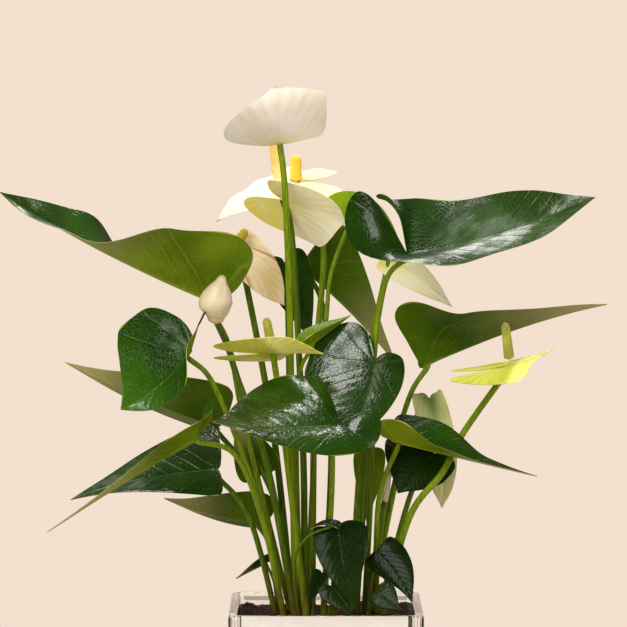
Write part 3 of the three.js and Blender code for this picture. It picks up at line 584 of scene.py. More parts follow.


# each leaf in millimetres: the stalk's line from the soil, its radius if not the usual one, the blade's tip,
# how far the middle of the midrib is off the straight line to it, where the upper face looks along it, the
# two halves, the waves' size, count and start, and the finishes above, below and on the stalk
# of these finishes, dark is painted shade and lit is painted backlight
leaves = [
    dict(name="leaf_far_left",
         stalk=[(-25, 4, 130), (-46, -1, 217), (-62, 4, 285), (-71, 2, 330), (-84, -20, 362)],
         tip=(-232, -60, 442), bend=(0, 0, -4),
         face=[(0.3, 1, 0.5), (0.2, 0.8, 0.8), (0.2, 0, 1), (0.2, -0.8, 1)], left=half(60, 14, [5, 0, 5]),
         right=half(50, 14, [55, 45, 45]), full=1.1, tones=("deep", "lit", "fresh")),
    dict(name="leaf_far_right",
         stalk=[(28, 2, 130), (33, 4, 230), (35, 4, 318), (40, 3, 360), (47, 1, 382), (59, 0, 394)],
         tip=(193, -30, 437), bend=(0, 0, -5), face=[(0, -0.4, 1), (0, -0.5, 1)],
         left=half(50, 30, [30, 14, 42], fold=92), right=half(42, 48, [22, -6], rise=14, fold=75, curl=-6),
         full=1.5, wave=(3.5, 1.6, 2.2), tones=("deep", "olive", "fresh")),
    dict(name="leaf_young_top", thick=1.9,
         stalk=[(-14, 8, 130), (-9, 14, 240), (0, 18, 343), (4, 23, 380), (15, 28, 416)], tip=(53, 54, 404),
         bend=(0, 0, 10), face=[(0, -0.6, 1), (0, -0.6, 1)], left=half(24, 2, [30]),
         right=half(20, 2, [15]), tones=("young", "young", "fresh")),
    dict(name="leaf_right_middle", stalk=[(34, 10, 130), (44, 20, 220), (60, 30, 285), (71, 40, 309)],
         tip=(205, 20, 357), bend=(0, 0, 5), face=[(0, 1, 0.1), (0, 0.6, 0.9), (0, 0.5, 1), (0, 0.7, 1)],
         left=half(45, 4, [95, 36, 27, 33]), right=half(50, 1, [0, 0]), full=0.95,
         tones=("deep", "olive", "fresh")),
    dict(name="leaf_back_centre", stalk=[(-2, 18, 130), (4, 50, 250), (-1, 80, 345), (-17, 90, 379)],
         tip=(52, 84, 309), bend=(2, 0, 2), face=[(0.1, 1, 0.2), (0.3, 1, 0.2)], left=half(28, 3, [75]),
         right=half(46, 4, [0]), full=0.65, tones=("mid", "olive", "green")),
    dict(name="leaf_back_dark", stalk=[(-20, 20, 130), (-26, 45, 250), (-30, 60, 385)], tip=(-10, 72, 325),
         face=[(0.2, -1, 0.2)], left=half(18, 8, [0]), right=half(18, 8, [0]),
         tones=("deep", "olive", "green")),
    dict(name="leaf_rolled", thick=1.8, stalk=[(-18, -4, 130), (-21, -2, 290), (-12, 2, 328)],
         tip=(18, 6, 350), face=[(-0.6, -0.4, 1)], left=half(12, 8, [50, 40]), right=half(12, 8, [50, 40]),
         tones=("young", "young", "fresh")),
    dict(name="leaf_left_heart", stalk=[(-30, -8, 130), (-50, -17, 220), (-80, -24, 300), (-97, -30, 327)],
         tip=(-147, -50, 286), bend=(3, 0, -4), face=[(-0.1, -1, 0.35), (-0.1, -1, 0.3)],
         left=half(24, 30, [88, 35, 8], fold=55), right=half(52, 16, [5], curl=-4), full=1.7,
         tones=("mid", "lit", "fresh")),
    dict(name="leaf_left_behind", stalk=[(-32, 10, 130), (-50, 38, 220), (-79, 46, 265)],
         tip=(-192, 44, 313), bend=(0, 0, -3), face=[(0, 1, 0.3)], left=half(33, 4, [0]),
         right=half(34, 2, [60, 55]), full=0.9, tones=("mid", "olive", "green")),
    dict(name="leaf_front_centre", stalk=[(-2, -14, 130), (4, -30, 220), (9, -60, 276)],
         tip=(-80, -122, 284), bend=(0, 0, -3), face=[(0, -0.62, 1), (0, -0.62, 1)],
         left=half(30, 27, [0, 0], fold=45, curl=-6), right=half(60, 9, [16, -6], fold=90, curl=-8),
         full=1.15, tones=("deep", "olive", "fresh")),
    dict(name="leaf_centre_back", stalk=[(22, -4, 130), (30, -8, 250), (35, -14, 316)], tip=(13, -44, 254),
         bend=(3, 0, 2), face=[(-0.2, -1, 0.6), (-0.1, -1, 0.5)], left=half(23, 10, [5], curl=-5),
         right=half(51, 32, [5], curl=-8), full=1.2, tones=("deep", "olive", "green")),
    dict(name="leaf_right_long", stalk=[(37, -6, 130), (38, -14, 215), (48, -20, 261)], tip=(152, -30, 236),
         face=[(0, -0.1, 1)], left=half(34, 4, [25, 42, 10, 0], full=0.7),
         right=half(26, 14, [48, 22, 12, 8]), full=0.8, tones=("deep", "lit", "fresh")),
    dict(name="leaf_right_heart", stalk=[(38, 6, 130), (60, 0, 215), (78, 0, 249)], tip=(52, -14, 222),
         bend=(0, -4, 2), face=[(-0.2, -1, 0.4), (-0.2, -1, 0.3)], left=half(20, 8, [5], curl=-5),
         right=half(34, 14, [5], curl=-5), full=1.6, tones=("dark", "olive", "green")),
    dict(name="leaf_right_hanging", thick=1.5, stalk=[(22, 16, 130), (27, 36, 215), (32, 36, 246)],
         tip=(30, 30, 196), face=[(0.1, -1, 0.1)], left=half(12, 5, [10]), right=half(12, 5, [10]),
         tones=("young", "young", "green")),
    dict(name="leaf_left_dark", stalk=[(-36, -2, 130), (-56, -10, 205), (-78, -20, 240)],
         tip=(-184, -30, 219), bend=(0, 0, 4), face=[(0, -0.8, 1)], left=half(26, 2, [5], curl=-3),
         right=half(48, 4, [5, 0], curl=-5), full=0.7, tones=("deep", "olive", "green")),
    dict(name="leaf_left_edge", stalk=[(-30, -16, 130), (-44, -40, 200), (-64, -64, 254), (-90, -70, 268)],
         tip=(-197, -95, 203), bend=(4, 0, 4), face=[(0.3, 0.5, 1), (0.2, 0.3, 1)],
         left=half(20, 24, [12, 0], fold=50), right=half(26, 27, [25, 10], fold=50),
         tones=("mid", "lit", "fresh")),
    dict(name="leaf_low_left", thick=1.9, stalk=[(-34, 4, 130), (-41, 10, 180), (-47, 14, 198)],
         tip=(-118, 10, 216), bend=(0, 0, -3), face=[(0, 1, 0.5)], left=half(26, 8, [0]),
         right=half(14, 2, [38]), tones=("mid", "olive", "green")),
    dict(name="leaf_olive_square", thick=1.9, stalk=[(-24, -4, 130), (-33, -3, 200), (-46, 5, 236)],
         tip=(-66, 6, 278), face=[(0, 1, 0.2)], left=half(15, 3, [0]), right=half(18, 3, [0]),
         tones=("mid", "olive", "green")),
    dict(name="leaf_base_heart", stalk=[(6, -26, 130), (6, -34, 170), (9, -40, 200)], tip=(22, -56, 143),
         bend=(-3, -3, 0), face=[(0.1, -1, 0.25), (0.1, -1, 0.1)], left=half(22, 6, [5], curl=-4),
         right=half(19, 1, [5], curl=-4), tones=("dark", "olive", "green")),
    dict(name="leaf_base_right", stalk=[(30, -18, 130), (33, -19, 165), (37, -30, 182)], tip=(62, -44, 146),
         bend=(2, 0, 2), face=[(-0.2, -1, 0.3), (-0.2, -1, 0.2)], left=half(16, 1, [5], curl=-4, full=1.3),
         right=half(13, 2, [5], curl=-4), tones=("dark", "olive", "green")),
    dict(name="leaf_base_small", thick=1.3, stalk=[(0, -36, 130), (3, -42, 142), (4, -44, 158)],
         tip=(19, -52, 138), face=[(0.1, -1, 0.4)], left=half(11, 4, [5], curl=-2),
         right=half(11, 4, [5], curl=-2), tones=("dark", "olive", "green")),
    dict(name="leaf_base_two", thick=1.3, stalk=[(28, -34, 130), (32, -37, 142), (39, -46, 153)],
         tip=(53, -53, 142), face=[(-0.2, -1, 0.4)], left=half(11, 5, [8], curl=-2),
         right=half(10, 5, [8], curl=-2), tones=("dark", "olive", "green")),
    dict(name="leaf_base_folded", thick=1.2, stalk=[(-10, -22, 130), (-8, -28, 150), (-3, -33, 166)],
         tip=(-13, -38, 144), bend=(0, -2, 0), face=[(-0.4, -1, 0.3)], left=half(7, 2, [15]),
         right=half(7, 2, [25]), tones=("dark", "olive", "green")),
    dict(name="leaf_centre_curled", thick=1.2,
         stalk=[(-19, -28, 130), (-23, -36, 172), (-14, -43, 193), (9, -46, 202)], tip=(-11, -47, 200),
         bend=(0, 0, 3), face=[(0, -0.6, 1)], left=half(6, 2, [20]), right=half(7, 2, [-10]),
         tones=("dark", "olive", "green")),
    dict(name="leaf_base_back", thick=1.3, stalk=[(-34, 22, 130), (-38, 30, 152), (-42, 34, 168)],
         tip=(-66, 34, 154), face=[(0, 0.4, 1)], left=half(9, 4, [10]), right=half(9, 4, [10]),
         tones=("dark", "olive", "green")),
]


def leafVeins(along, across):  # whole numbers fall on the lateral veins
    start = along - leafShape["slant"] * across
    turn = np.arctan2(np.maximum(across, 1e-6), along)
    edge = math.atan2(1, leafShape["slant"])
    lobes = -leafShape["lobeVeins"] * (turn - edge) / (math.pi - edge)
    return np.where(start >= 0, leafShape["lateralVeins"] * start, lobes)


def stemLine(row, end):  # it starts a little below the soil's top
    x, y, z = row["stalk"][0]
    sunk = 4
    return smoothLine([(x, y, z - sunk)] + row["stalk"][:-1] + [end], 8)


def makeLeaf(row):
    sheet = BladeSheet(row, leafOutline)
    points, faces, picks, places = sheetMesh(sheet, leafShape, leafVeins)
    line = stemLine(row, sheet.holdPoint())
    share = np.linspace(0, 1, len(line))
    radii = row.get("thick", leafShape["stalkThick"]) * (1 - (1 - leafShape["stalkTaper"]) * share)
    knee = 0.18 * np.clip((share - 0.88) / 0.12, 0, 1)  # the stalk swells below the blade
    knee = knee - 0.35 * np.clip((share - 0.97) / 0.03, 0, 1)
    more, rings, marks = rodMesh(line, radii * (1 + knee), leafShape["stalkSides"], len(points))
    picks = picks + [3] * len(rings)
    upper, under, stalk = row["tones"]
    materials = [leafPaints[upper], leafPaints[under], leafPaints[under], stemPaints[stalk]]
    points, faces, places = points + more, faces + rings, places + marks
    piece = makePiece(row["name"] + "_looks", points, faces, materials, picks, places, 60)
    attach(piece, "root")
    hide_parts(row["name"])


for row in leaves:
    makeLeaf(row)
print("leaves:", len(leaves))


petalShape = dict(
    thick=0.9, steps=9, columns=14, quilt=0.35, rib=0.2,
    ribs=13, behind=0.22,  # how many veins a half has, and how far behind the stem they start
)
stemShape = dict(
    thick=2.6, taper=0.85, sides=18,  # its radius at the soil, and the share left at its top
    below=0.6,  # how far below the spathe it ends
)

# each open flower: like a leaf, with the finishes of spathe and stem
spathes = [
    dict(name="flower_top",
         stalk=[(-22, -10, 130), (-25, -10, 290), (-26, -12, 350), (-28, -22, 410), (-30, -25, 450),
                (-33, -22, 475)],
         tip=(-37, -52, 517), bend=(0, -10, 0), face=[(0, 0.4, 1), (0, 1, 0.2)],
         left=half(36, 2, [10, 5], curl=6, full=4), right=half(40, 3, [0, 5], curl=4, full=0.7), full=1,
         tones=("white", "fresh")),
    dict(name="flower_cream",
         stalk=[(-16, 2, 130), (-16, 7, 230), (-20, 9, 330), (-25, 8, 410), (-31, 6, 434)],
         tip=(14, -10, 418), bend=(4, -4, 0), face=[(0, 1, 0.8)],
         left=half(38, 36, [0, 0], curl=4, full=1.5), right=half(28, 8, [-20], curl=2, full=1.3), full=1.2,
         tones=("cream", "green")),
    dict(name="flower_white", stalk=[(-10, 24, 130), (-8, 38, 300), (-2, 52, 400), (-21, 60, 445)],
         tip=(-80, 46, 416), bend=(-3, 0, 8), face=[(0, -0.6, 1), (-0.3, -0.8, 0.9)],
         left=half(26, 32, [5], curl=-4), right=half(20, 30, [4, -22, -22], curl=-3, rise=4),
         wave=(1.8, 3, 0.5), tones=("white", "fresh")),
    dict(name="flower_peach", stalk=[(-24, 12, 130), (-38, 28, 260), (-58, 32, 370), (-66, 26, 400)],
         tip=(-30, 20, 356), bend=(0, -4, 2), face=[(0.3, -1, 0.3)], left=half(15, 6, [10], curl=4),
         right=half(16, 8, [10]), full=1.3, tones=("peach", "green")),
    dict(name="flower_green", stalk=[(-14, -20, 130), (-32, -24, 280), (-38, -32, 325)], tip=(-2, -36, 325),
         bend=(0, 0, 0.5), face=[(0, 0.65, 1), (0, 0.5, 1)], left=half(17, 44, [0, 30, 35], curl=3, rise=2),
         right=half(19, 42, [0], curl=3, rise=3), tones=("green", "fresh")),
    dict(name="flower_right",
         stalk=[(40, -12, 130), (60, -22, 205), (84, -22, 238), (101, 4, 266), (133, -20, 315)],
         tip=(164, -16, 327), bend=(0, 0, -1.5), face=[(0, -0.55, 1), (0, -0.2, 1)],
         left=half(10, 42, [-12], rise=4), right=half(17, 46, [0, 28, 30], curl=-3, rise=4, full=0.7),
         tones=("green", "fresh")),
    dict(name="flower_behind", stalk=[(18, 10, 130), (30, 30, 300), (46, 36, 389)], tip=(93, 30, 354),
         bend=(-2, 0, 4), face=[(-0.4, -1, 0.2)], left=half(12, 6, [10]), right=half(12, 6, [10]),
         tones=("cream", "fresh")),
    dict(name="flower_hanging", stalk=[(32, 22, 130), (52, 30, 230), (68, 34, 276), (76, 32, 287)],
         tip=(85, 24, 207), bend=(4, 0, 0), face=[(0.2, -1, 0.2)], left=half(12, 3, [10]),
         right=half(15, 6, [10]), full=1.6, tones=("hanging", "fresh")),
]


def petalVeins(along, across):  # they all fan out from a point behind the stem
    return petalShape["ribs"] * np.arctan2(across, along + petalShape["behind"]) / math.pi


def stemTree():  # a round stem along a path, a little thinner at its top
    grow = Growth("stemGrowth", {"Foot Radius": "Float", "Top Radius": "Float", "Sides": "Int"})
    given = grow.given
    share = grow.add("GeometryNodeSplineParameter").outputs["Factor"]
    radius = grow.between(share, given["Foot Radius"], given["Top Radius"])
    names = {"Resolution": given["Sides"], "Radius": 1}
    circle = grow.add("GeometryNodeCurvePrimitiveCircle", names).outputs[0]
    names = {"Curve": given["Geometry"], "Radius": radius}
    sized = grow.add("GeometryNodeSetCurveRadius", names).outputs[0]
    names = {"Curve": sized, "Profile Curve": circle, "Fill Caps": True, "Scale": radius}
    grow.finish(grow.add("GeometryNodeCurveToMesh", names).outputs[0])
    return grow


stemGrowth = stemTree()


def makeStem(row, end, tone):
    thick = stemShape["thick"] * mm
    values = {"Foot Radius": thick, "Top Radius": thick * stemShape["taper"], "Sides": stemShape["sides"]}
    name = row["name"] + "_stem"
    piece = stemGrowth.run(curveCarrier(stemLine(row, end)), values, name + "_looks", stemPaints[tone])
    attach(piece, "root")
    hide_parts(name)


def makeSpathe(row):
    sheet = BladeSheet(row, spatheOutline)
    points, faces, picks, places = sheetMesh(sheet, petalShape, petalVeins)
    paint = petalPaints[row["tones"][0]]
    piece = makePiece(row["name"] + "_spathe_looks", points, faces, [paint] * 3, picks, places, 60)
    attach(piece, "root")
    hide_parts(row["name"] + "_spathe")
    end = sheet.base - sheet.face(np.array([0.0]))[0] * stemShape["below"]
    makeStem(row, end, row["tones"][1])


spadixShape = dict(
    floret=0.62, room=3.4, sunk=0.35,  # a floret's radius, how much room one takes, how deep it sits
    seed=7, coreIn=0.4, sides=20,
    domeStart=0.86, domeSteep=7.1,  # where the round end starts, as a share, and how fast it closes
)

# each spadix: its line and its radius at the foot and the top
spadices = [
    dict(name="flower_top", thick=[4.2, 3], path=[(-33, -16, 480), (-33, 2, 512)], tone="yellow"),
    dict(name="flower_cream", thick=[4.5, 3.8], path=[(-31, 9, 437), (-35, 16, 455), (-38, 20, 476)],
         tone="peach"),
    dict(name="flower_white", thick=[4.6, 4], path=[(-22, 59, 447), (-22, 58, 464)], tone="yellow"),
    dict(name="flower_peach", thick=[4, 3], path=[(-68, 22, 397), (-58, 16, 411)], tone="olive"),
    dict(name="flower_green", thick=[3.6, 3], path=[(-39, -31, 329), (-43, -30, 350)], tone="green"),
    dict(name="flower_right", thick=[3.8, 3], path=[(132, -20, 321), (129, -22, 346)], tone="green"),
]


def floretTree():  # small florets wound round a spadix
    sizes = {"Foot Radius": "Float", "Top Radius": "Float", "Floret Size": "Float"}
    grow = Growth("floretSpiral", {**sizes, "Florets": "Int", "Seed": "Int"})
    given = grow.given
    goldenAngle = math.radians(137.508)
    points = grow.add("GeometryNodePoints", {"Count": given["Florets"]}).outputs[0]
    index = grow.add("GeometryNodeInputIndex").outputs[0]
    share = grow.maths("DIVIDE", index, given["Florets"])
    names = {"Curves": given["Geometry"], "Factor": share}
    sample = grow.add("GeometryNodeSampleCurve", names, mode="FACTOR", use_all_curves=True).outputs
    turn = grow.times(index, goldenAngle)
    names = {"Vector": sample["Normal"], "Axis": sample["Tangent"], "Angle": turn}
    out = grow.add("ShaderNodeVectorRotate", names).outputs[0]
    body = grow.between(share, given["Foot Radius"], given["Top Radius"])
    over = grow.maths("SUBTRACT", share, spadixShape["domeStart"], True)
    over = grow.times(over, spadixShape["domeSteep"])
    over = grow.maths("SUBTRACT", 1.0, grow.times(over, over), True)
    reach = grow.times(body, grow.maths("SQRT", over))
    spot = grow.vector("ADD", sample["Position"], grow.vector("SCALE", out, reach))
    placed = grow.add("GeometryNodeSetPosition", {"Geometry": points, "Position": spot}).outputs[0]
    names = {"Radius": given["Floret Size"], "Subdivisions": 2}
    floret = grow.add("GeometryNodeMeshIcoSphere", names).outputs[0]
    lean = grow.add("FunctionNodeAlignRotationToVector", {"Vector": out}, axis="Z").outputs[0]
    squash = grow.add("ShaderNodeCombineXYZ", {"X": 1.0, "Y": 1.0, "Z": 0.75}).outputs[0]
    size = grow.vector("SCALE", squash, grow.chance("FLOAT", 0.85, 1.12, given["Seed"])[1])
    names = {"Points": placed, "Instance": floret, "Rotation": lean, "Scale": size}
    grow.finish(grow.add("GeometryNodeInstanceOnPoints", names).outputs[0])
    return grow


def spadixPaint(name, dark, light):
    paint = Paint(name)
    dots = paint.noise(1100, 2)
    patches = paint.noise(60, 2)
    ground = paint.mix(paint.band(patches, 0.3, 0.7), dark, light)
    pollen = paint.times(paint.band(dots, 0.45, 0.65), 0.35)
    paint.colour(paint.mix(pollen, ground, shade(250, 236, 150)))
    paint.roughness(paint.band(dots, 0.2, 0.8, 0.45, 0.65))
    paint.bump(dots, 0.2 * mm)
    return paint.material


spadixPaints = {
    "yellow": spadixPaint("spadix_bright", shade(246, 196, 30), shade(255, 226, 70)),
    "peach": spadixPaint("spadix_peach", shade(246, 196, 90), shade(255, 226, 150)),
    "olive": spadixPaint("spadix_olive", shade(170, 150, 20), shade(200, 180, 40)),
    "green": spadixPaint("spadix_green", shade(130, 140, 20), shade(176, 178, 50)),
}
floretSpiral = floretTree()


def makeSpadix(row):
    line = smoothLine(row["path"], 10)
    foot, top = row["thick"]
    length = np.linalg.norm(np.diff(line, axis=0), axis=1).sum()
    floret, sunk = spadixShape["floret"], spadixShape["sunk"]
    count = int(length * math.pi * (foot + top) / (floret * floret * spadixShape["room"]))
    paint = spadixPaints[row["tone"]]
    values = {"Florets": count, "Foot Radius": (foot - sunk) * mm, "Top Radius": (top - sunk) * mm,
              "Floret Size": floret * mm, "Seed": spadixShape["seed"]}
    name = row["name"] + "_spadix"
    florets = floretSpiral.run(curveCarrier(line), values, name + "_florets", paint)
    share = np.linspace(0, 1, len(line))
    over = np.clip(share - spadixShape["domeStart"], 0, 1) * spadixShape["domeSteep"]
    dome = np.sqrt(np.clip(1 - over ** 2, 0.02, 1))
    radii = (foot + (top - foot) * share - spadixShape["coreIn"]) * dome
    points, faces, _ = rodMesh(line, radii, spadixShape["sides"])
    core = makePiece(name + "_core", points, faces, [paint])
    for part in (core, florets):
        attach(part, "root")
        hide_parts(name)


budShape = dict(
    sides=36, ribs=10,
    soften=6,  # how many rings each way share in a radius
    swell=0.05, seam=0.16,  # how unround it is, and how deep the rolled edge cuts in
)

# each closed flower: the stem's line, the line through the rolled spathe and its radii
buds = [
    dict(name="bud_left", thick=[4, 10, 13, 9, 0.8],
         stalk=[(-22, -16, 130), (-42, -12, 240), (-64, -7, 305), (-71, -10, 328), (-75, -41, 346)],
         path=[(-79, -43, 349), (-78.5, -44, 356), (-78.5, -44.5, 363), (-76.5, -44.5, 372),
               (-74, -44, 381)]),
    dict(name="bud_right", thick=[1.8, 3.4, 0.8], stalk=[(34, -1, 130), (38, -4, 196), (43, -5, 212)],
         path=[(43, -5, 215), (44, -5, 226), (46, -5, 238)]),
]


def makeBud(row):
    line = smoothLine(row["path"], 14)
    share = np.linspace(0, 1, len(line))
    radii = np.interp(share, np.linspace(0, 1, len(row["thick"])), row["thick"])
    soften, sides = budShape["soften"], budShape["sides"]
    radii = np.array([radii[max(0, i - soften):i + soften + 1].mean() for i in range(len(line))])
    points, faces, places = rodMesh(line, radii, sides)
    points, places = np.array(points), np.array(places)
    ahead = unitRows(np.gradient(line, axis=0))
    for i in range(len(line)):
        ring = slice(i * sides, i * sides + sides)
        turn = places[ring, 0]
        seam = np.exp(-((turn - 0.35 - share[i] * 0.35) / 0.03) ** 2)  # where the rolled edge lies
        fold = budShape["swell"] * np.sin(turn * 2 * math.pi + share[i] * 5) - budShape["seam"] * seam
        points[ring] = line[i] + (points[ring] - line[i]) * (1 + fold * np.sin(math.pi * share[i]))[:, None]
    places[:, 0] = places[:, 0] * budShape["ribs"]
    # the bud tone is the white spathe's colour with painted shade
    paint = petalPaints["bud"]
    piece = makePiece(row["name"] + "_spathe_looks", points, faces, [paint], places=places)
    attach(piece, "root")
    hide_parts(row["name"] + "_spathe")
    makeStem(row, line[0] + ahead[0] * 0.5, "green")


for row in spathes:
    makeSpathe(row)
for row in spadices:
    makeSpadix(row)
for row in buds:
    makeBud(row)
print("flowers:", len(spathes), "buds:", len(buds))


vaseShape = dict(
    wall=7, foot=9, corner=6, innerCorner=3, cornerSteps=10,
    rim=2.6, footEdge=1.6, innerEdge=2,  # how round the rim and the edges of the foot are
    footFlat=12,  # how far the bottom's first ring lies from its edge
)


def squareRing(side, corner, height):  # side is half the square's width
    ring = []
    steps = vaseShape["cornerSteps"]
    for quarter in range(4):
        right = 1 if quarter in (0, 1) else -1
        back = -1 if quarter in (0, 3) else 1
        for k in range(steps + 1):
            turn = (quarter + k / steps) * math.pi / 2
            turn = turn - math.pi / 2
            x = right * (side - corner) + math.cos(turn) * corner
            y = back * (side - corner) + math.sin(turn) * corner
            ring.append((x, y, height))
    return ring


def quarterTurn(steps):  # the sines and cosines for a rounded edge
    turns = [k / steps * math.pi / 2 for k in range(steps + 1)]
    return [(math.sin(turn), math.cos(turn)) for turn in turns]


def makeVase():
    low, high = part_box("glass_vase")
    side = (high[0] - low[0]) / 2 / mm
    tall = high[2] / mm
    corner, innerCorner = vaseShape["corner"], vaseShape["innerCorner"]
    rim, edge, innerEdge = vaseShape["rim"], vaseShape["footEdge"], vaseShape["innerEdge"]
    inner = side - vaseShape["wall"]
    rings = [squareRing(side - edge - vaseShape["footFlat"], corner, 0)]
    for sine, cosine in quarterTurn(5):
        inset = edge * (1 - sine)
        rings.append(squareRing(side - inset, corner - inset * 0.5, edge * (1 - cosine)))
    for sine, cosine in quarterTurn(6):
        inset = rim * (1 - cosine)
        rings.append(squareRing(side - inset, corner - inset * 0.5, tall - rim + rim * sine))
    for sine, cosine in quarterTurn(6):
        inset = rim * (1 - sine)
        rings.append(squareRing(inner + inset, innerCorner + inset, tall - rim + rim * cosine))
    for sine, cosine in quarterTurn(4):
        inset = innerEdge * (1 - cosine)
        rings.append(squareRing(inner - inset, innerCorner, vaseShape["foot"] + innerEdge * (1 - sine)))
    points = [p for ring in rings for p in ring]
    around = len(rings[0])
    faces = [tuple(range(around))[::-1]]
    for i in range(len(rings) - 1):
        for k in range(around):
            n = (k + 1) % around
            faces.append((i * around + k, i * around + n, (i + 1) * around + n, (i + 1) * around + k))
    faces.append(tuple((len(rings) - 1) * around + k for k in range(around)))
    piece = makePiece("vase_glass", points, faces, [glassPaint()], sharp=40)
    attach(piece, "root")
    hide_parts("glass_vase")


def glassPaint():
    paint = Paint("clear_glass", roughness=0.0, ior=1.5)
    paint.shader.inputs["Transmission Weight"].default_value = 1.0
    paint.colour(paint.mix(paint.noise(14, 2), shade(254, 255, 254), shade(250, 252, 251)))
    shadow = paint.add("ShaderNodeLightPath").outputs["Is Shadow Ray"]
    clear = paint.times(shadow, 0.9)  # the lamps shine through it
    paint.put(paint.shader.inputs["Alpha"], paint.maths("SUBTRACT", 1.0, clear))
    return paint.material


def cardPaint():
    paint = Paint("pale_card", roughness=0.85)
    grain = paint.noise(1, 4, stretch=(600, 600, 900))
    paint.colour(paint.mix(grain, shade(250, 240, 233), shade(242, 230, 221)))
    paint.roughness(paint.band(grain, 0.2, 0.8, 0.78, 0.92))
    paint.bump(grain, 0.06 * mm)
    return paint.material


def soilPaint(name, dark, light):
    paint = Paint(name, roughness=0.95)
    crumbs = paint.noise(380, 5)
    ground = paint.mix(paint.band(crumbs, 0.35, 0.7), dark, light)
    bits = paint.band(paint.noise(150, 2), 0.6, 0.66)
    ground = paint.mix(paint.times(bits, 0.5), ground, shade(110, 78, 44))
    paint.colour(ground)
    paint.roughness(paint.band(crumbs, 0.2, 0.8, 0.8, 1.0))
    paint.bump(crumbs, 1.2 * mm)
    return paint.material


soilShape = dict(
    level=133.6, cells=110, corner=3,
    crumbs=2600, crumbSize=1.3, crumbLong=1.2, crumbSeed=3,
    fibres=420, fibreSize=0.32, fibreLong=9, fibreSeed=5, sizeSeed=11,
    bare=3.5, lift=0.3,  # how far loose bits stay from the glass, and above the soil
)


def soilHeight(x, y):  # flat round the stalks, uneven near the glass, with two heaps
    lump = 1.6 * math.sin(0.11 * x + 0.07 * y + 1) + 1.3 * math.cos(0.13 * y - 0.06 * x)
    leftHeap = 5 * math.exp(-((x + 52) ** 2 + (y - 20) ** 2) / 260)
    rightHeap = 6 * math.exp(-((x - 58) ** 2 + (y - 35) ** 2) / 300)
    away = max(abs(x - 2) / 50, abs(y + 4) / 46)
    free = min(max((away - 0.9) / 0.3, 0), 1)
    fine = 0.5 * math.sin(0.9 * x + 0.4 * y) * math.sin(0.7 * y - 0.3 * x)
    fine = fine + 0.3 * math.sin(2.1 * x) * math.cos(1.7 * y)
    return soilShape["level"] - 0.4 + free * (lump - 2.5 + leftHeap + rightHeap) + fine * 0.8


def gridFaces(cells):  # the faces of a grid whose points are counted row by row
    starts = [i * (cells + 1) + k for i in range(cells) for k in range(cells)]
    return [(a, a + cells + 1, a + cells + 2, a + 1) for a in starts]


def makeSoil():
    low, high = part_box("soil")
    x0, y0, z0 = (v / mm for v in low)
    x1, y1, z1 = (v / mm for v in high)
    cells, corner = soilShape["cells"], soilShape["corner"]
    middle = ((x0 + x1) / 2, (y0 + y1) / 2)
    half = ((x1 - x0) / 2, (y1 - y0) / 2)

    def spot(i, k):
        x = -half[0] + 2 * half[0] * i / cells
        y = -half[1] + 2 * half[1] * k / cells
        dx, dy = abs(x) - (half[0] - corner), abs(y) - (half[1] - corner)
        if dx > 0 and dy > 0:
            pull = max(dx, dy) / math.hypot(dx, dy)
            x = math.copysign(half[0] - corner + dx * pull, x)
            y = math.copysign(half[1] - corner + dy * pull, y)
        return middle[0] + x, middle[1] + y

    wide = cells + 1
    top = [spot(i, k) for i in range(wide) for k in range(wide)]
    points = [(x, y, min(soilHeight(x, y), z1)) for x, y in top]
    faces = gridFaces(cells)
    rim = [i * wide for i in range(wide)] + [cells * wide + k for k in range(1, wide)]
    rim += [i * wide + cells for i in range(cells - 1, -1, -1)] + [k for k in range(cells - 1, 0, -1)]
    base = len(points)
    for r in rim:
        points.append((points[r][0], points[r][1], z0))
    for j in range(len(rim)):
        n = (j + 1) % len(rim)
        faces.append((rim[n], rim[j], base + j, base + n))
    faces.append(tuple(base + j for j in range(len(rim)))[::-1])
    paint = soilPaint("peat", shade(14, 8, 5), shade(54, 33, 20))
    piece = makePiece("soil_bed", points, faces, [paint], sharp=50)
    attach(piece, "root")
    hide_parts("soil")
    return x0, y0, x1, y1


def scatterTree():  # crumbs or fibres lying on the soil's top
    grow = Growth("soilScatter", {"Amount": "Float", "Size": "Float", "Length": "Float", "Seed": "Int"})
    given = grow.given
    names = {"Mesh": given["Geometry"], "Density": given["Amount"], "Seed": given["Seed"]}
    spread = grow.add("GeometryNodeDistributePointsOnFaces", names).outputs[0]
    grain = grow.add("GeometryNodeMeshIcoSphere", {"Radius": given["Size"], "Subdivisions": 1}).outputs[0]
    turn = grow.chance("FLOAT_VECTOR", (-0.5, -0.5, 0), (0.5, 0.5, 6.28), given["Seed"])[0]
    chance = grow.chance("FLOAT_VECTOR", (0.4, 0.4, 0.4), (1.3, 1.1, 1.0), soilShape["sizeSeed"])[0]
    long = grow.add("ShaderNodeCombineXYZ", {"X": given["Length"], "Y": 1.0, "Z": 1.0}).outputs[0]
    size = grow.vector("MULTIPLY", chance, long)
    names = {"Points": spread, "Instance": grain, "Rotation": turn, "Scale": size}
    grow.finish(grow.add("GeometryNodeInstanceOnPoints", names).outputs[0])
    return grow


def soilTop(area):  # the part of the soil's top where loose bits lie, kept clear of the glass
    x0, y0, x1, y1 = area
    bare = soilShape["bare"]
    cells = 40
    points = []
    for i in range(cells + 1):
        for k in range(cells + 1):
            x = x0 + bare + (x1 - x0 - 2 * bare) * i / cells
            y = y0 + bare + (y1 - y0 - 2 * bare) * k / cells
            points.append((x, y, soilHeight(x, y) + soilShape["lift"]))
    return makePiece("top", points, gridFaces(cells), [])


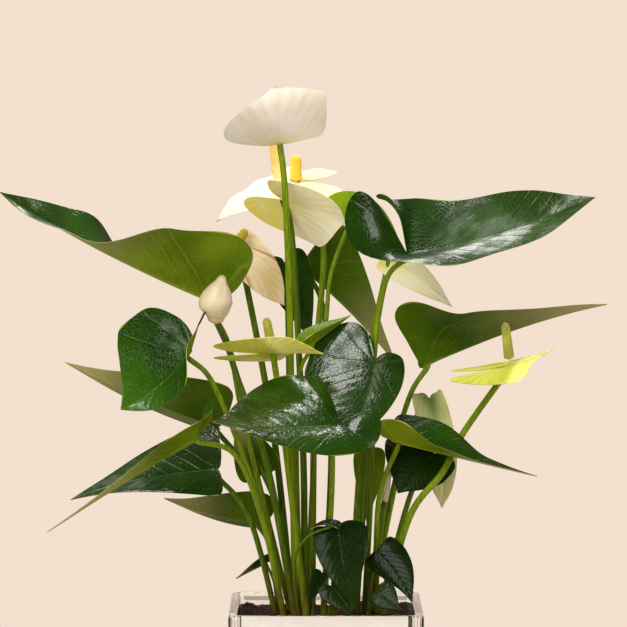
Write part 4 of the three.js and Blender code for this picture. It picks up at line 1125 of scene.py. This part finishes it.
makeVase()
soilArea = makeSoil()
soilScatter = scatterTree()
spread = (soilArea[2] - soilArea[0]) * (soilArea[3] - soilArea[1]) * mm * mm
crumbPaint = soilPaint("peat_crumbs", shade(22, 12, 7), shade(84, 54, 32))
fibrePaint = soilPaint("peat_fibres", shade(70, 44, 24), shade(136, 98, 58))
for kind, paint in (("crumb", crumbPaint), ("fibre", fibrePaint)):
    values = {"Amount": soilShape[kind + "s"] / spread, "Size": soilShape[kind + "Size"] * mm,
              "Length": float(soilShape[kind + "Long"]), "Seed": soilShape[kind + "Seed"]}
    piece = soilScatter.run(soilTop(soilArea), values, "soil_" + kind + "s", paint)
    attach(piece, "root")
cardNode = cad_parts["front_card"]
cardNode.material_slots[0].material = cardPaint()
print("vase, card and soil: done")


studio = dict(
    backdrop=shade(243, 224, 207),
    worldPower=0.62,  # how strongly the backdrop lights the plant; it is seen at full strength
    shinePower=0.1,  # how strongly it shows in the gloss of the leaves
    ambient=shade(240, 234, 226),  # the colour it lights the plant with
    lampColour=(1.0, 0.97, 0.92),
    keyPower=9, keySize=0.5, keySpot=(-0.5, -0.62, 1.45),
    topPower=8, topSize=0.45, topSpot=(0.33, 0.58, 1.48),
    wedgePower=2.5, wedgeSize=0.6, wedgeSpot=(-0.35, 0.2, 1.62),
    sidePower=5, sideSize=0.6, sideSpot=(1.3, -0.7, 0.9),
    backPower=6, backSize=0.6, backSpot=(-0.08, 1.05, 1.2),
    frontPower=25, frontSize=1.4, frontSpot=(-0.9, -2.0, 1.3),
    aim=(0, 0, 0.33),  # the spot that every lamp faces
)
scene = bpy.context.scene
world = bpy.data.worlds.new("studio")
world.use_nodes = True
sky = world.node_tree.nodes["Background"]
worldTree = NodeTree(world.node_tree)
rays = worldTree.add("ShaderNodeLightPath").outputs
skyColour = worldTree.mix(rays["Is Diffuse Ray"], studio["backdrop"], studio["ambient"])
worldTree.put(sky.inputs["Color"], skyColour)
strength = studio["worldPower"]
rayPower = {
    "Is Camera Ray": 1 - studio["worldPower"],
    "Is Singular Ray": 1 - studio["shinePower"],  # through the glass and off its faces
    "Is Transmission Ray": studio["shinePower"] - studio["worldPower"],
    "Is Glossy Ray": studio["shinePower"] - studio["worldPower"],
}
for ray, more in rayPower.items():
    step = worldTree.add("ShaderNodeMath", {0: rays[ray], 1: more, 2: strength}, operation="MULTIPLY_ADD")
    strength = step.outputs[0]
worldTree.put(sky.inputs["Strength"], strength)
scene.world = world
scene.view_settings.view_transform = "Standard"


def softLight(name, spot, size, power):
    lamp = bpy.data.lights.new(name, "AREA")
    lamp.size = size
    lamp.energy = power
    lamp.color = studio["lampColour"]
    light = linkObject(name, lamp)
    light.location = spot
    aim = Vector(studio["aim"]) - Vector(spot)
    light.rotation_euler = aim.to_track_quat("-Z", "Y").to_euler()


for part in ("key", "top", "wedge", "back", "side", "front"):
    softLight(part, studio[part + "Spot"], studio[part + "Size"], studio[part + "Power"])

floorMesh = bpy.data.meshes.new("floor")
reach, sunk = 0.75, 0.0005  # the floor lies half a millimetre below the vase
floorCorners = [(-reach, -reach, 0), (reach, -reach, 0), (reach, reach, 0), (-reach, reach, 0)]
floorMesh.from_pydata(floorCorners, [], [(0, 1, 2, 3)])
floor = linkObject("floor", floorMesh)
floor.location = (0, 0, -sunk)
floorPaint = Paint("pale_floor", roughness=0.8)
floorPaint.colour(floorPaint.mix(floorPaint.noise(5, 2), shade(212, 196, 184), shade(206, 190, 177)))
floorMesh.materials.append(floorPaint.material)

view = dict(spot=(-0.009, -3.284, 0.5674), tilt=-3.76, lens=260.7, film=36)  # metres, degrees, millimetres
lens = bpy.data.cameras.new("camera")
lens.lens = view["lens"]
lens.sensor_width = view["film"]
camera = linkObject("camera", lens)
camera.location = view["spot"]
camera.rotation_euler = (math.radians(90 + view["tilt"]), 0, 0)
scene.camera = camera
